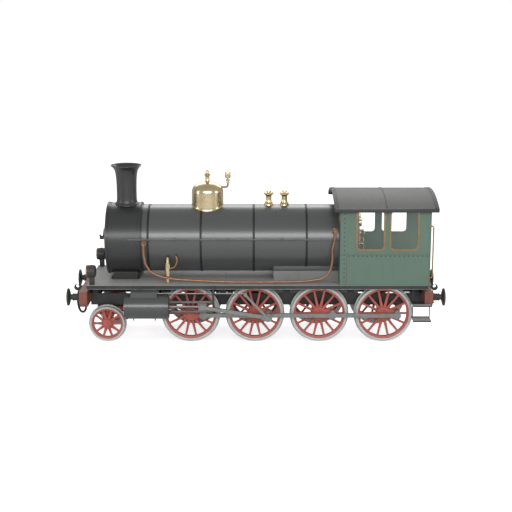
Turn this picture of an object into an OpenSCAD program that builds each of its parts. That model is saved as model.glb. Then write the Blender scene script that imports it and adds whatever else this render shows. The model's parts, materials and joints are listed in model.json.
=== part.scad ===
// Steam locomotive, 2-8-0, standard gauge, without its tender.
// Millimetres. The chimney end points along -X, the left side along -Y, +Z is up.
// Origin: midway between the buffer faces, on the centre plane, at the lowest point of the flanges.

/* [Rails and wheels] */
// Half the distance between the backs of the wheels
wheel_back = 680; // [670:1:690]
// Width of a tyre with its flange
tyre_w = 130; // [110:1:150]
// Width of the flange
flange_w = 30; // [25:1:36]
// Height of the flange above the tread
flange_h = 28; // [20:1:34]
// Tread radius of a driving wheel
driver_r = 615; // [560:1:630]
// Distance between driving axles
driver_pitch = 1392; // [1370:1:1600]
// Place of the main axle along the frame
main_axle_x = -23; // [-60:1:60]
// Spokes in a driving wheel
driver_spokes = 14; // [10:1:18]
// Thickness of a driving tyre under its tread
driver_tyre_t = 62; // [45:1:80]
// Tread radius of a leading wheel
lead_r = 385; // [320:1:395]
// Place of the leading axle
lead_x = -3230; // [-3260:1:-3200]
// Spokes in a leading wheel
lead_spokes = 10; // [8:1:12]
// Thickness of a leading tyre under its tread
lead_tyre_t = 48; // [35:1:60]
// Radius of the driving axles
axle_r = 85; // [70:1:100]
// Radius of the leading axle
lead_axle_r = 65; // [50:1:80]

/* [Rods and crossheads] */
// Crank throw
crank = 280; // [230:1:290]
// Radius of the crank pins
pin_r = 45; // [35:1:50]
// Inner face of the coupling rods
coupling_y = 900; // [895:1:905]
// Thickness of the coupling rods
coupling_t = 60; // [45:1:62]
// Height of the coupling rods
coupling_h = 90; // [70:1:105]
// Inner face of the connecting rods
connecting_y = 1090; // [1088:1:1094]
// Thickness of the connecting rods
connecting_t = 50; // [35:1:52]
// Centre distance of a connecting rod
connecting_l = 1425; // [1400:1:1440]
// Inner face of the eccentric rods
eccentric_y = 1155; // [1152:1:1160]
// Thickness of the eccentric rods
eccentric_t = 25; // [18:1:30]
// Centre distance of an eccentric rod
eccentric_l = 706; // [690:1:730]
// Radius of the piston rods
piston_r = 26; // [20:1:32]

/* [Cylinders] */
// Outer radius of a cylinder
cyl_r = 270; // [240:1:280]
// Distance of a cylinder's axis from the centre plane
cyl_y = 1050; // [1045:1:1055]
// Height of a cylinder's axis
cyl_z = 870; // [850:1:890]
// Front end of a cylinder
cyl_x0 = -2810; // [-2815:1:-2780]
// Rear end of a cylinder
cyl_x1 = -1866; // [-1880:1:-1850]
// Height of the valve rods
valve_z = 1157; // [1156:1:1165]

/* [Frame and running board] */
// Half-length of the frame plates
frame_x = 3600; // [3560:1:3610]
// Inner face of the frame plates
frame_y = 540; // [500:1:560]
// Thickness of the frame plates
frame_t = 25; // [20:1:32]
// Underside of the frame plates
frame_z0 = 785; // [770:1:800]
// Top of the frame plates
frame_z1 = 1040; // [1020:1:1080]
// Top of the running board
board_z = 1310; // [1305:1:1330]
// Half-width of the running board
board_y = 970; // [960:1:972]
// Thickness of the running board
board_t = 12; // [8:1:14]
// Front and rear ends of the running board
board_x = [-3630, 3690]; // [-3700:1:3700]
// Half-length of a buffer beam
beam_y = 1080; // [1000:1:1150]
// Inner face of a buffer beam
beam_x = 3610; // [3600:1:3620]
// Thickness of a buffer beam
beam_t = 170; // [120:1:190]

/* [Buffers and couplings] */
// Distance of a buffer face from the middle
buffer_x = 4070; // [4040:1:4100]
// Distance of a buffer from the centre plane
buffer_y = 875; // [850:1:900]
// Height of the buffers
buffer_z = 1040; // [1010:1:1060]
// Radius of a buffer head
buffer_r = 190; // [160:1:205]
// Radius of a brake hose
hose_r = 25; // [20:1:28]

/* [Boiler] */
// Height of the boiler axis
boiler_z = 2165; // [2140:1:2200]
// Outer radius of the boiler clothing
boiler_r = 732; // [700:1:745]
// Outer radius of the smokebox
smokebox_r = 771; // [755:1:800]
// Thickness of the smokebox wall
smokebox_t = 16; // [10:1:24]
// Front and rear ends of the smokebox
smokebox_x = [-3240, -2490]; // [-3260:1:-2480]
// Radius of the smokebox door
door_r = 560; // [500:1:580]
// Place of the chimney
chimney_x = -2825; // [-2860:1:-2790]
// Top of the chimney
chimney_z = 3780; // [3600:1:3900]
// Radius of the chimney's rim
chimney_r = 333; // [280:1:345]
// Place of the steam dome
dome_x = -1060; // [-1150:1:-1000]
// Radius of the steam dome
dome_r = 345; // [300:1:360]
// Top of the dome's crown
dome_z = 3355; // [3300:1:3450]

/* [Cab] */
// Front face of the cab
cab_x0 = 1790; // [1780:1:1800]
// Rear edge of the cab sides
cab_x1 = 3720; // [3650:1:3740]
// Half-width of the cab
cab_y = 950; // [930:1:965]
// Thickness of the cab's plates
cab_t = 20; // [12:1:30]
// Half-width of the roof
roof_y = 1120; // [1080:1:1150]
// Crown of the roof
roof_z = 3240; // [3220:1:3300]
// Thickness of the roof
roof_t = 40; // [25:1:50]
// Lower and upper edges of the side windows
window_z = [2110, 2930]; // [2050:1:2960]
// Corner radius of the side windows
window_r = 80; // [40:1:100]

/* [Hidden] */
$fn = 144;

// Radial play of a shaft in its bore, and side play between moving pieces
fit = 0.05;
play = 5;

driver_z = driver_r + flange_h;
lead_z = lead_r + flange_h;
boiler_top = boiler_z + boiler_r;
driver_x = [for (i = [-1:2]) main_axle_x + i * driver_pitch];
// Crank angles of the left and right pins, seen from the left
crank_angle = [0, 90];
left = 0;
right = 1;
// Sides of a swept tube
tube_sides = 12;

// Outer faces of the pins: behind a coupling rod, behind a connecting rod, behind an eccentric rod
coupling_out = coupling_y + coupling_t;
connecting_out = connecting_y + connecting_t;
eccentric_out = eccentric_y + eccentric_t;
boss_y = coupling_y - 60;

red = [0.67, 0.33, 0.30];
green = [0.40, 0.48, 0.43];
black = [0.17, 0.18, 0.18];
boiler_grey = [0.30, 0.31, 0.30];
steel = [0.60, 0.63, 0.61];
roof_grey = [0.47, 0.47, 0.46];
brass = [0.80, 0.66, 0.40];
copper = [0.63, 0.43, 0.33];
glass = [0.75, 0.85, 0.85, 0.4];

// ---- Shapes that several pieces share ----

// A box between two opposite corners
module block(low, high) {
    translate(low) cube(high - low);
}

// A round bar along X
module bar_x(x0, x1, y, z, r) {
    translate([x0, y, z]) rotate([0, 90, 0]) cylinder(h = x1 - x0, r = r);
}

// A round bar along Y, on the left side: y0 and y1 are distances from the centre plane
module pin_left(x, z, y0, y1, r) {
    translate([x, -y0, z]) rotate([90, 0, 0]) cylinder(h = y1 - y0, r = r);
}

// A flat outline, drawn as seen from the left, made solid between two distances from the centre plane
module plate_left(y0, y1) {
    translate([0, -y0, 0]) rotate([90, 0, 0]) linear_extrude(y1 - y0) children();
}

module both_sides() {
    children();
    mirror([0, 1, 0]) children();
}

// Draws its children on the left for side 0 and on the right for side 1
module on_side(side) {
    mirror([0, side, 0]) children();
}

module both_ends() {
    children();
    mirror([1, 0, 0]) children();
}

// A rectangle with round corners, from its lower left to its upper right corner
module round_rect(low, high, r) {
    translate([low.x + r, low.y]) square([high.x - low.x - 2 * r, high.y - low.y]);
    translate([low.x, low.y + r]) square([high.x - low.x, high.y - low.y - 2 * r]);
    for (x = [low.x + r, high.x - r], y = [low.y + r, high.y - r])
        translate([x, y]) circle(r);
}

// A straight bar of even width between two points
module strip(from, to, w) {
    d = to - from;
    translate(from) rotate(atan2(d.y, d.x)) translate([0, -w / 2]) square([norm(d), w]);
}

// Tube swept ring by ring along a route of [x, z] points in the plane at y
module tube(route, y, r) {
    n = len(route);
    points = [for (i = [0:n - 1])
        let (before = route[max(i - 1, 0)], after = route[min(i + 1, n - 1)],
             t = (after - before) / norm(after - before))
        for (k = [0:tube_sides - 1])
            let (a = 360 * k / tube_sides, out = r * cos(a))
            [route[i].x - t.y * out, y + r * sin(a), route[i].y + t.x * out]];
    walls = [for (i = [0:n - 2], k = [0:tube_sides - 1])
        let (a = i * tube_sides + k, b = i * tube_sides + (k + 1) % tube_sides)
        [a, a + tube_sides, b + tube_sides, b]];
    first = [for (k = [0:tube_sides - 1]) k];
    last = [for (k = [tube_sides - 1:-1:0]) (n - 1) * tube_sides + k];
    polyhedron(points = points, faces = concat(walls, [first, last]), convexity = 4);
}

// Place of a crank pin seen from the left
function pin_at(axle, side) = [
    driver_x[axle] + crank * cos(crank_angle[side]),
    driver_z + crank * sin(crank_angle[side]),
];
// Place of the crosshead's pin, which lies on the cylinder's axis
function crosshead_x(side) = let (p = pin_at(1, side), dz = p.y - cyl_z)
    p.x - sqrt(connecting_l * connecting_l - dz * dz);
// Place of the valve rod's end pin
function valve_x(side) = let (p = pin_at(1, side), dz = valve_z - p.y)
    p.x - sqrt(eccentric_l * eccentric_l - dz * dz);

// ---- Frame ----

// Stretchers between the frame plates: place along the frame and length
STRETCHERS = [[-3530, 120], [-2230, 300], [-720, 120], [2065, 120], [3530, 120]];
pony_pivot_x = -2230;
pony_pin_r = 30;
horn_w = 260;
horn_t = 60;

module main_frame() {
    color(black) {
        both_sides() block([-frame_x, -frame_y - frame_t, frame_z0], [frame_x, -frame_y, frame_z1]);
        for (s = STRETCHERS)
            block([s[0] - s[1] / 2, -frame_y, frame_z0 + 40], [s[0] + s[1] / 2, frame_y, frame_z1 - 20]);
        // Pin on which the pony truck swings
        translate([pony_pivot_x, 0, lead_z + 150]) cylinder(h = frame_z0 + 40 - lead_z - 150, r = pony_pin_r);
    }
}

module axle_boxes() {
    color(black) both_sides() for (x = driver_x) difference() {
        block([x - horn_w / 2, -frame_y - horn_t, driver_z - 120], [x + horn_w / 2, -frame_y, frame_z0]);
        pin_left(x, driver_z, frame_y - 1, frame_y + horn_t + 1, axle_r + fit);
    }
}

module buffer_beam() {
    color(red) difference() {
        block([-beam_x - beam_t, -beam_y, 850], [-beam_x, beam_y, 1200]);
        // Corners cut back at the lower ends
        both_sides() translate([-beam_x - beam_t - 1, -beam_y - 1, 849])
            rotate([90, 0, 90]) linear_extrude(beam_t + 2) polygon([[0, 0], [91, 0], [0, 91]]);
    }
    // Web that joins the beam to the frame plates
    color(red) both_sides() block([-beam_x, -frame_y - frame_t, 860], [-frame_x, -frame_y, frame_z1]);
}
module front_buffer_beam() { buffer_beam(); }
module rear_buffer_beam() { mirror([1, 0, 0]) buffer_beam(); }

module buffers() {
    face = beam_x + beam_t;
    both_sides() translate([-face, -buffer_y, buffer_z]) rotate([0, -90, 0]) {
        // Flange, housing, plunger and head
        color(red) cylinder(h = 25, r = 150);
        color(red) translate([0, 0, 25]) cylinder(h = 130, r1 = 115, r2 = 95);
        color(black) translate([0, 0, 155]) cylinder(h = buffer_x - face - 195, r = 62);
        color(black) translate([0, 0, buffer_x - face - 40]) cylinder(h = 40, r = buffer_r);
    }
}
module front_buffers() { buffers(); }
module rear_buffers() { mirror([1, 0, 0]) buffers(); }

module draw_hook() {
    face = beam_x + beam_t;
    color(black) {
        block([-face - 22, -110, buffer_z - 110], [-face, 110, buffer_z + 110]);
        block([-face - 150, -28, buffer_z - 32], [-face - 22, 28, buffer_z + 32]);
        translate([-face - 190, 0, buffer_z]) rotate([90, 0, 0]) translate([0, 0, -28]) linear_extrude(56)
            difference() {
                circle(r = 75);
                translate([0, 20]) circle(r = 36);
                translate([-20, 20]) square([40, 80]);
            }
    }
}
module front_draw_hook() { draw_hook(); }
module rear_draw_hook() { mirror([1, 0, 0]) draw_hook(); }

// Route of a brake hose: distance out from the middle of the engine, and height
HOSE = [
    [3780, 1085], [3828, 1085], [3866, 1068], [3893, 1035], [3908, 985], [3917, 925], [3921, 860],
    [3921, 790], [3915, 720], [3902, 655], [3880, 600], [3848, 565], [3806, 560], [3775, 585],
    [3756, 625], [3748, 680], [3745, 740], [3745, 800], [3745, 850],
];
hose_y = 330;

module front_brake_hose() { color(black) rotate([0, 0, 180]) tube(HOSE, hose_y, hose_r); }
module rear_brake_hose() { color(black) tube(HOSE, hose_y, hose_r); }

// Brackets that carry the running board: places along the frame
BOARD_BRACKETS = [-3500, -2640, -720, 673, 2065, 3500];

module running_board() {
    // The lower firebox comes up through the plate
    slot_x = [firebox_x - 40, backhead_x];
    color(roof_grey) difference() {
        block([board_x[0], -board_y, board_z - board_t], [board_x[1], board_y, board_z]);
        block([slot_x[0], -frame_y, board_z - board_t - 1], [slot_x[1], frame_y, board_z + 1]);
    }
    // Valance along each edge and across each end
    color(black) both_sides()
        block([board_x[0], -board_y, 1228], [board_x[1], -board_y + 15, board_z - board_t]);
    color(black) both_sides() for (x = BOARD_BRACKETS)
        block([x - 60, -frame_y - frame_t, frame_z1], [x + 60, -frame_y, board_z - board_t]);
}

// ---- Boiler ----

module boiler_barrel() {
    color(boiler_grey) bar_x(smokebox_x[1], cab_x0, 0, boiler_z, boiler_r);
}

// Bands around the boiler clothing: first band, distance between bands, count
band_x = -2325;
band_pitch = 1138;
band_w = 46;
module boiler_bands() {
    color(black) for (i = [0:3]) difference() {
        bar_x(band_x + i * band_pitch - band_w / 2, band_x + i * band_pitch + band_w / 2, 0, boiler_z, boiler_r + 7);
        bar_x(-2500, cab_x0, 0, boiler_z, boiler_r);
        dome_shape();
        firebox_block();
    }
}

backhead_x = 2230;
firebox_x = 380;
firebox_y = 500;
// Plain block of the lower firebox
module firebox_block() {
    block([firebox_x, -firebox_y, 820], [backhead_x, firebox_y, boiler_z - 300]);
}

module firebox() {
    color(boiler_grey) {
        // Backhead inside the cab
        bar_x(cab_x0, backhead_x, 0, boiler_z - 20, 680);
        // Lower firebox between the frame plates
        difference() {
            firebox_block();
            bar_x(-2500, cab_x0, 0, boiler_z, boiler_r);
            for (s = STRETCHERS)
                block([s[0] - s[1] / 2, -frame_y, frame_z0], [s[0] + s[1] / 2, frame_y, frame_z1 - 20]);
        }
    }
}

door_hinge = [smokebox_x[0] - 34, 690];
hinge_pin_r = 15;
HINGE_Z = [boiler_z - 230, boiler_z + 230];

module smokebox() {
    color(black) {
        difference() {
            bar_x(smokebox_x[0], smokebox_x[1], 0, boiler_z, smokebox_r);
            bar_x(smokebox_x[0] + smokebox_t, smokebox_x[1] - smokebox_t, 0, boiler_z, smokebox_r - smokebox_t);
            bar_x(smokebox_x[0] - 1, smokebox_x[1] - smokebox_t, 0, boiler_z, door_r - 40);
            translate([chimney_x, 0, boiler_z]) cylinder(h = smokebox_r + 10, r = 170);
        }
        // Ring around each end
        for (x = [smokebox_x[0], smokebox_x[1] - 40]) difference() {
            bar_x(x, x + 40, 0, boiler_z, smokebox_r + 19);
            bar_x(x - 1, x + 41, 0, boiler_z, smokebox_r);
        }
        // Lugs and pins of the door's hinges
        for (z = HINGE_Z) {
            translate([door_hinge.x, door_hinge.y, z - 75]) cylinder(h = 150, r = hinge_pin_r);
            for (dz = [-75, 45]) translate([0, 0, z + dz]) linear_extrude(30) {
                translate(door_hinge) circle(r = 28);
                translate([door_hinge.x, door_hinge.y - 28]) square([34, 56]);
            }
        }
    }
}

saddle_x = [-3120, -2600];
module smokebox_saddle() {
    color(black) difference() {
        union() {
            block([saddle_x[0], -330, board_z], [saddle_x[1], 330, boiler_z - 600]);
            block([saddle_x[0] - 40, -400, board_z], [saddle_x[1] + 40, 400, board_z + 30]);
        }
        bar_x(-3500, -2400, 0, boiler_z, smokebox_r);
    }
}

module smokebox_door() {
    dish_r = 2640;
    dish_h = 90;
    gap = 0.5;
    front = smokebox_x[0] - gap - dish_h;
    color(black) {
        // Dished plate
        translate([smokebox_x[0] - gap, 0, boiler_z]) rotate([0, -90, 0]) rotate_extrude() intersection() {
            translate([0, dish_h - dish_r]) circle(r = dish_r, $fn = 960);
            square([door_r, dish_h]);
        }
        // Straps that turn on the hinge pins
        for (z = HINGE_Z) difference() {
            translate([0, 0, z - 40]) linear_extrude(80) {
                translate(door_hinge) circle(r = 26);
                translate([door_hinge.x - 26, door_r - 160]) square([24, door_hinge.y - door_r + 160]);
            }
            translate([door_hinge.x, door_hinge.y, z - 41]) cylinder(h = 82, r = hinge_pin_r + fit);
        }
    }
    // Central boss and handles
    color(steel) bar_x(front - 115, front + 10, 0, boiler_z, 40);
    color(steel) for (h = [[-50, 40], [-95, 155]]) 
        translate([front + h[0], 0, boiler_z]) rotate([h[1], 0, 0]) translate([0, -14, -14])
            cube([28, 250, 28]);
}

// Profile of the chimney's outside: radius, height
CHIMNEY = [[300, 2850], [222, 2980], [222, 3560], [254, 3665], [300, 3690]];
module chimney() {
    color(black) difference() {
        translate([chimney_x, 0, 0]) rotate_extrude()
            polygon(concat([[0, 2800], [300, 2800]], CHIMNEY, [[chimney_r, 3720], [chimney_r, chimney_z],
                [0, chimney_z]]));
        translate([chimney_x, 0, boiler_z]) cylinder(h = chimney_z, r = 185);
        bar_x(-3500, -2400, 0, boiler_z, smokebox_r);
    }
}

// Outside of the dome with its finial, before the boiler is cut away
dome_crown_r = 397;
module dome_shape() {
    crown = dome_z - 205;
    translate([dome_x, 0, 0]) rotate_extrude() {
        polygon([[0, 2650], [dome_r + 22, 2650], [dome_r + 22, 2800], [dome_r, 2860], [dome_r, crown], [0, crown]]);
        intersection() {
            translate([0, dome_z - dome_crown_r]) circle(r = dome_crown_r, $fn = 480);
            translate([0, crown - 1]) square([dome_r, 300]);
        }
        // Finial: stem, collar, ball
        translate([0, dome_z - 20]) square([50, 200]);
        translate([0, dome_z + 180]) square([73, 42]);
        polygon([[0, dome_z + 220], [60, dome_z + 220], [34, dome_z + 282], [34, dome_z + 310], [0, dome_z + 310]]);
    }
}

module steam_dome() {
    color(brass) difference() {
        dome_shape();
        bar_x(-2400, 1700, 0, boiler_z, boiler_r);
    }
}

whistle_x = -615;
whistle_z = 3290;
module whistle() {
    color(copper) difference() {
        union() {
            bar_x(dome_x + 200, whistle_x, 0, whistle_z, 20);
            translate([whistle_x, 0, whistle_z - 26]) cylinder(h = 166, r = 26);
        }
        dome_shape();
    }
    color(brass) translate([whistle_x, 0, whistle_z + 140]) {
        cylinder(h = 24, r = 48);
        cylinder(h = 60, r = 24);
        translate([0, 0, 60]) cylinder(h = 140, r = 60);
        translate([0, 0, 200]) cylinder(h = 18, r1 = 60, r2 = 20);
    }
}

SAFETY_VALVES = [277, 620];
module safety_valves() {
    for (x = SAFETY_VALVES) difference() {
        translate([x, 0, 0]) {
            color(brass) translate([0, 0, boiler_top - 52]) cylinder(h = 120, r = 100);
            color(brass) translate([0, 0, boiler_top + 68]) cylinder(h = 180, r = 65);
            color(brass) translate([0, 0, boiler_top + 238]) cylinder(h = 32, r = 105);
            color(brass) translate([0, 0, boiler_top + 263]) cylinder(h = 60, r1 = 55, r2 = 38);
        }
        bar_x(-2400, 1700, 0, boiler_z, boiler_r);
    }
}

rail_y = 800;
rail_z = 2280;
RAIL_KNOBS = [-2700, -1750, -600, 550, 1700];
module handrails() {
    color(steel) both_sides() {
        bar_x(-2740, cab_x0, -rail_y, rail_z, 16);
        for (x = RAIL_KNOBS) {
            bar_x(x - 22, x + 22, -rail_y, rail_z, 24);
            difference() {
                pin_left(x, rail_z, 650, rail_y - 10, 13);
                bar_x(smokebox_x[0], cab_x0, 0, boiler_z, x < smokebox_x[1] ? smokebox_r : boiler_r);
            }
        }
    }
}

// Route of a feed pipe on one side: place along the engine, height
FEED_PIPE = [
    [-2405, 2150], [-2405, 1960], [-2372, 1760], [-2280, 1610], [-2140, 1520], [-1960, 1462], [-1700, 1425],
    [-1200, 1392], [-650, 1370], [0, 1362], [650, 1368], [1100, 1385], [1380, 1430], [1540, 1520],
    [1610, 1660], [1640, 1850], [1632, 2080], [1668, 2220], [1690, 2340], [1690, 2440],
];
pipe_y = 850;
pipe_r = 24;
module feed_pipes() {
    color(copper) both_sides() tube(FEED_PIPE, -pipe_y, pipe_r);
}

// Elbows on the ends of the feed pipes, flanged to the boiler
elbow_r = 34;
module feed_elbows() {
    color(copper) both_sides() for (p = [FEED_PIPE[0], FEED_PIPE[len(FEED_PIPE) - 1]]) difference() {
        union() {
            pin_left(p.x, p.y + elbow_r, 500, pipe_y + elbow_r, elbow_r);
            pin_left(p.x, p.y + elbow_r, 500, 760, elbow_r + 20);
        }
        bar_x(smokebox_x[1], cab_x0, 0, boiler_z, boiler_r);
    }
}

injector_x = -1900;
module injectors() {
    color(brass) both_sides() {
        translate([injector_x, -(pipe_y - 105), board_z]) {
            cylinder(h = 30, r = 70);
            cylinder(h = 150, r = 30);
            translate([0, 0, 150]) cylinder(h = 300, r = 55);
            translate([0, 0, 240]) cylinder(h = 40, r = 72);
            translate([0, 0, 450]) cylinder(h = 40, r = 72);
            translate([0, 0, 490]) cylinder(h = 90, r = 32);
        }
    }
}

module headlamps() {
    both_sides() translate([0, -860, 0]) {
        color(black) block([-3590, -70, board_z], [-3460, 70, board_z + 20]);
        color(black) block([-3560, -35, board_z + 20], [-3490, 35, 1490]);
        color(black) bar_x(-3620, -3430, 0, 1605, 135);
        color(black) bar_x(-3430, -3410, 0, 1605, 90);
        color(brass) difference() {
            bar_x(-3640, -3620, 0, 1605, 135);
            bar_x(-3641, -3619, 0, 1605, 108);
        }
        color(glass) bar_x(-3632, -3620, 0, 1605, 108);
    }
}

// ---- Cab ----

// Side windows: front and rear edges
WINDOWS = [[2160, 2710], [2870, 3430]];
frame_w = 40;
spectacle_r = 150;
spectacle_at = [740, 2740];

// Space under the roof: everything below its inner face
module under_roof(t) {
    arc_r = (roof_y * roof_y + 220 * 220) / (2 * 220);
    bar_x(-1000, 5000, 0, roof_z - arc_r, arc_r - t, $fn = 960);
}

module cab_sides() {
    color(green) both_sides() intersection() {
        plate_left(cab_y - cab_t, cab_y) difference() {
            translate([cab_x0, board_z]) square([cab_x1 - cab_x0, roof_z - board_z]);
            for (w = WINDOWS) round_rect([w[0], window_z[0]], [w[1], window_z[1]], window_r);
        }
        under_roof(roof_t);
    }
}

module cab_front() {
    inner = cab_y - cab_t;
    color(green) difference() {
        intersection() {
            block([cab_x0, -inner, board_z], [cab_x0 + cab_t, inner, roof_z]);
            under_roof(roof_t);
        }
        bar_x(cab_x0 - 1, backhead_x, 0, boiler_z - 20, 680);
        firebox_block();
        for (y = [-1, 1]) bar_x(cab_x0 - 1, backhead_x, y * spectacle_at[0], spectacle_at[1], spectacle_r);
    }
}

module cab_roof() {
    x0 = 1650;
    x1 = 3850;
    eave_z = roof_z - 220;
    color(roof_grey) intersection() {
        difference() {
            under_roof(0);
            under_roof(roof_t);
        }
        block([x0, -roof_y, eave_z - 40], [x1, roof_y, roof_z + 10]);
    }
    // Gutter board along each eave
    color(black) both_sides() block([x0, -roof_y - 22, eave_z - 85], [x1, -roof_y, eave_z]);
}

module cab_floor() {
    color([0.35, 0.30, 0.26]) difference() {
        block([cab_x0 + cab_t, -cab_y + cab_t, board_z], [cab_x1, cab_y - cab_t, board_z + 40]);
        block([cab_x0, -firebox_y, board_z - 1], [backhead_x, firebox_y, board_z + 41]);
    }
}

module cab_window_frames() {
    color(brass) both_sides() plate_left(cab_y, cab_y + 9) for (w = WINDOWS) difference() {
        round_rect([w[0] - frame_w, window_z[0] - frame_w], [w[1] + frame_w, window_z[1] + frame_w],
            window_r + frame_w);
        round_rect([w[0], window_z[0]], [w[1], window_z[1]], window_r);
    }
    color(brass) for (y = [-1, 1]) difference() {
        bar_x(cab_x0 - 9, cab_x0, y * spectacle_at[0], spectacle_at[1], spectacle_r + 28);
        bar_x(cab_x0 - 10, cab_x0 + 1, y * spectacle_at[0], spectacle_at[1], spectacle_r);
    }
}

module cab_glass() {
    color(glass) both_sides() plate_left(cab_y - 13, cab_y - 7) for (w = WINDOWS)
        round_rect([w[0], window_z[0]], [w[1], window_z[1]], window_r);
    color(glass) for (y = [-1, 1])
        bar_x(cab_x0 + 7, cab_x0 + 13, y * spectacle_at[0], spectacle_at[1], spectacle_r);
}

grab_x = 3765;
module cab_grab_rails() {
    color(brass) both_sides() {
        translate([grab_x, -cab_y + 10, 1480]) cylinder(h = 1140, r = 18);
        for (z = [1510, 2590]) bar_x(cab_x1, grab_x, -cab_y + 10, z, 10);
    }
}

// Heights of the treads of the cab steps
STEP_Z = [935, 602];
step_x = [3350, 3740];
step_y = [850, 1200];
step_t = 12;
hanger_t = 16;
module cab_steps() {
    color(black) both_sides() {
        // The upper tread bends around the end of the buffer beam
        block([step_x[0], -step_y[1], STEP_Z[0] - step_t], [beam_x, -step_y[0], STEP_Z[0]]);
        block([beam_x, -step_y[1], STEP_Z[0] - step_t], [step_x[1], -beam_y, STEP_Z[0]]);
        block([step_x[0], -step_y[1], STEP_Z[1] - step_t], [step_x[1], -step_y[0], STEP_Z[1]]);
        // Lips along the outer edges
        for (z = STEP_Z) block([step_x[0], -step_y[1] - step_t, z - 30], [step_x[1], -step_y[1], z]);
        // Hangers: from the running board down, and between the treads
        block([step_x[0] + 15, -953, STEP_Z[1]], [step_x[0] + 15 + hanger_t, -925, board_z - board_t]);
        block([step_x[1] - 40, -1130, STEP_Z[1]], [step_x[1] - 40 + hanger_t, -1100, STEP_Z[0] - step_t]);
    }
}

fire_hinge = [backhead_x + 34, -270];
fire_z = 1800;
module fire_door() {
    color(black) {
        bar_x(backhead_x + 6, backhead_x + 26, 0, fire_z, 225);
        difference() {
            translate([0, 0, fire_z - 40]) linear_extrude(80) {
                translate(fire_hinge) circle(r = 24);
                translate([fire_hinge.x - 20, fire_hinge.y]) square([18, 110]);
            }
            translate([fire_hinge.x, fire_hinge.y, fire_z - 41]) cylinder(h = 82, r = 12 + fit);
        }
    }
}

// Gauges on the backhead: distance from the centre plane, height, radius
GAUGES = [[-260, 2560, 90], [0, 2600, 110], [260, 2560, 90]];
module backhead_fittings() {
    color(black) {
        translate([fire_hinge.x, fire_hinge.y, fire_z - 75]) cylinder(h = 150, r = 12);
        for (dz = [-75, 46]) translate([0, 0, fire_z + dz]) linear_extrude(29) {
            translate(fire_hinge) circle(r = 24);
            translate([backhead_x, fire_hinge.y - 20]) square([34, 40]);
        }
    }
    color(brass) for (g = GAUGES) bar_x(backhead_x, backhead_x + 60, g[0], g[1], g[2]);
    color(brass) for (y = [-1, 1]) {
        bar_x(backhead_x, backhead_x + 90, y * 420, 2120, 24);
        translate([backhead_x + 90, y * 420, 1990]) cylinder(h = 260, r = 22);
    }
    // Regulator handle
    color(steel) {
        bar_x(backhead_x, backhead_x + 120, 0, 2330, 28);
        block([backhead_x + 120, -330, 2312], [backhead_x + 140, 60, 2348]);
    }
}

// ---- Cylinders and valve gear ----

module cylinders() {
    both_sides() {
        color(black) difference() {
            union() {
                bar_x(cyl_x0 + 40, cyl_x1 - 40, -cyl_y, cyl_z, cyl_r - 12);
                for (x = [cyl_x0 + 40, cyl_x1 - 70]) bar_x(x, x + 30, -cyl_y, cyl_z, cyl_r);
                bar_x(cyl_x0, cyl_x0 + 40, -cyl_y, cyl_z, cyl_r - 24);
                bar_x(cyl_x1 - 40, cyl_x1, -cyl_y, cyl_z, cyl_r - 24);
                // Casting that reaches in to the frame, with the valve chest on top
                block([-2750, -cyl_y, 700], [-2140, -frame_y - frame_t, 1050]);
                block([-2670, -cyl_y - 130, 1050], [-2110, -frame_y - frame_t, 1220]);
                // Gland of the piston rod
                bar_x(cyl_x1, cyl_x1 + 32, -cyl_y, cyl_z, 58);
            }
            // Bore for the piston rod
            bar_x(cyl_x0 + 60, cyl_x1 + 40, -cyl_y, cyl_z, piston_r + fit);
            // Room for the leading driving wheel
            block([-2100, -830, 500], [cyl_x1 + 50, -500, 1400]);
        }
    }
}

bar_end_x = -935;
bar_gap = 165;
valve_r = 14;
valve_y = cyl_y - 15;
module slide_bars() {
    y0 = cyl_y - 30;
    color(black) both_sides() {
        block([cyl_x1, -cyl_y - 30, cyl_z + bar_gap / 2], [bar_end_x, -y0, cyl_z + bar_gap / 2 + 42]);
        block([cyl_x1, -cyl_y - 30, cyl_z - bar_gap / 2 - 42], [bar_end_x, -y0, cyl_z - bar_gap / 2]);
        // Hanger at the rear end, fixed to the running board's edge
        difference() {
            block([bar_end_x, -cyl_y - 30, cyl_z - bar_gap / 2 - 42], [bar_end_x + 40, -board_y, board_z]);
            bar_x(bar_end_x - 1, bar_end_x + 41, -valve_y, valve_z, valve_r + fit);
        }
    }
}

module valve_rods() {
    color(steel) for (side = [left, right]) on_side(side) {
        bar_x(-2110, valve_x(side), -valve_y, valve_z, valve_r);
        pin_left(valve_x(side), valve_z, valve_y - 30, valve_y + 30, 34);
        pin_left(valve_x(side), valve_z, valve_y + 30, eccentric_y - play, 14);
    }
}

module crosshead(side) {
    x = crosshead_x(side);
    h = bar_gap / 2 - play;
    on_side(side) color(steel) {
        block([x - 85, -cyl_y - 30, cyl_z - h], [x + 85, -cyl_y + 30, cyl_z + h]);
        // Long enough to stay in its gland when the crosshead is at its rearmost place
        bar_x(x - crosshead_x(left) + cyl_x1 + 16, x - 80, -cyl_y, cyl_z, piston_r);
    }
}
module left_crosshead() { crosshead(left); }
module right_crosshead() { crosshead(right); }

module coupling_rod(side) {
    z = pin_at(0, side).y;
    on_side(side) color(steel) difference() {
        plate_left(coupling_y, coupling_out) {
            translate([pin_at(0, side).x, z - coupling_h / 2])
                square([pin_at(3, side).x - pin_at(0, side).x, coupling_h]);
            for (a = [0:3]) translate(pin_at(a, side)) circle(r = 85);
            // Oil box on each eye
            for (a = [0:3]) translate(pin_at(a, side) + [-32, 60]) square([64, 52]);
        }
        for (a = [0:3]) pin_left(pin_at(a, side).x, z, coupling_y - 1, coupling_out + 1, pin_r + fit);
        // Fluting on the outer face, between the eyes
        for (a = [0:2]) plate_left(coupling_out - 12, coupling_out + 1)
            translate([pin_at(a, side).x + 130, z - 22]) square([driver_pitch - 260, 44]);
    }
}
module left_coupling_rod() { coupling_rod(left); }
module right_coupling_rod() { coupling_rod(right); }

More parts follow.
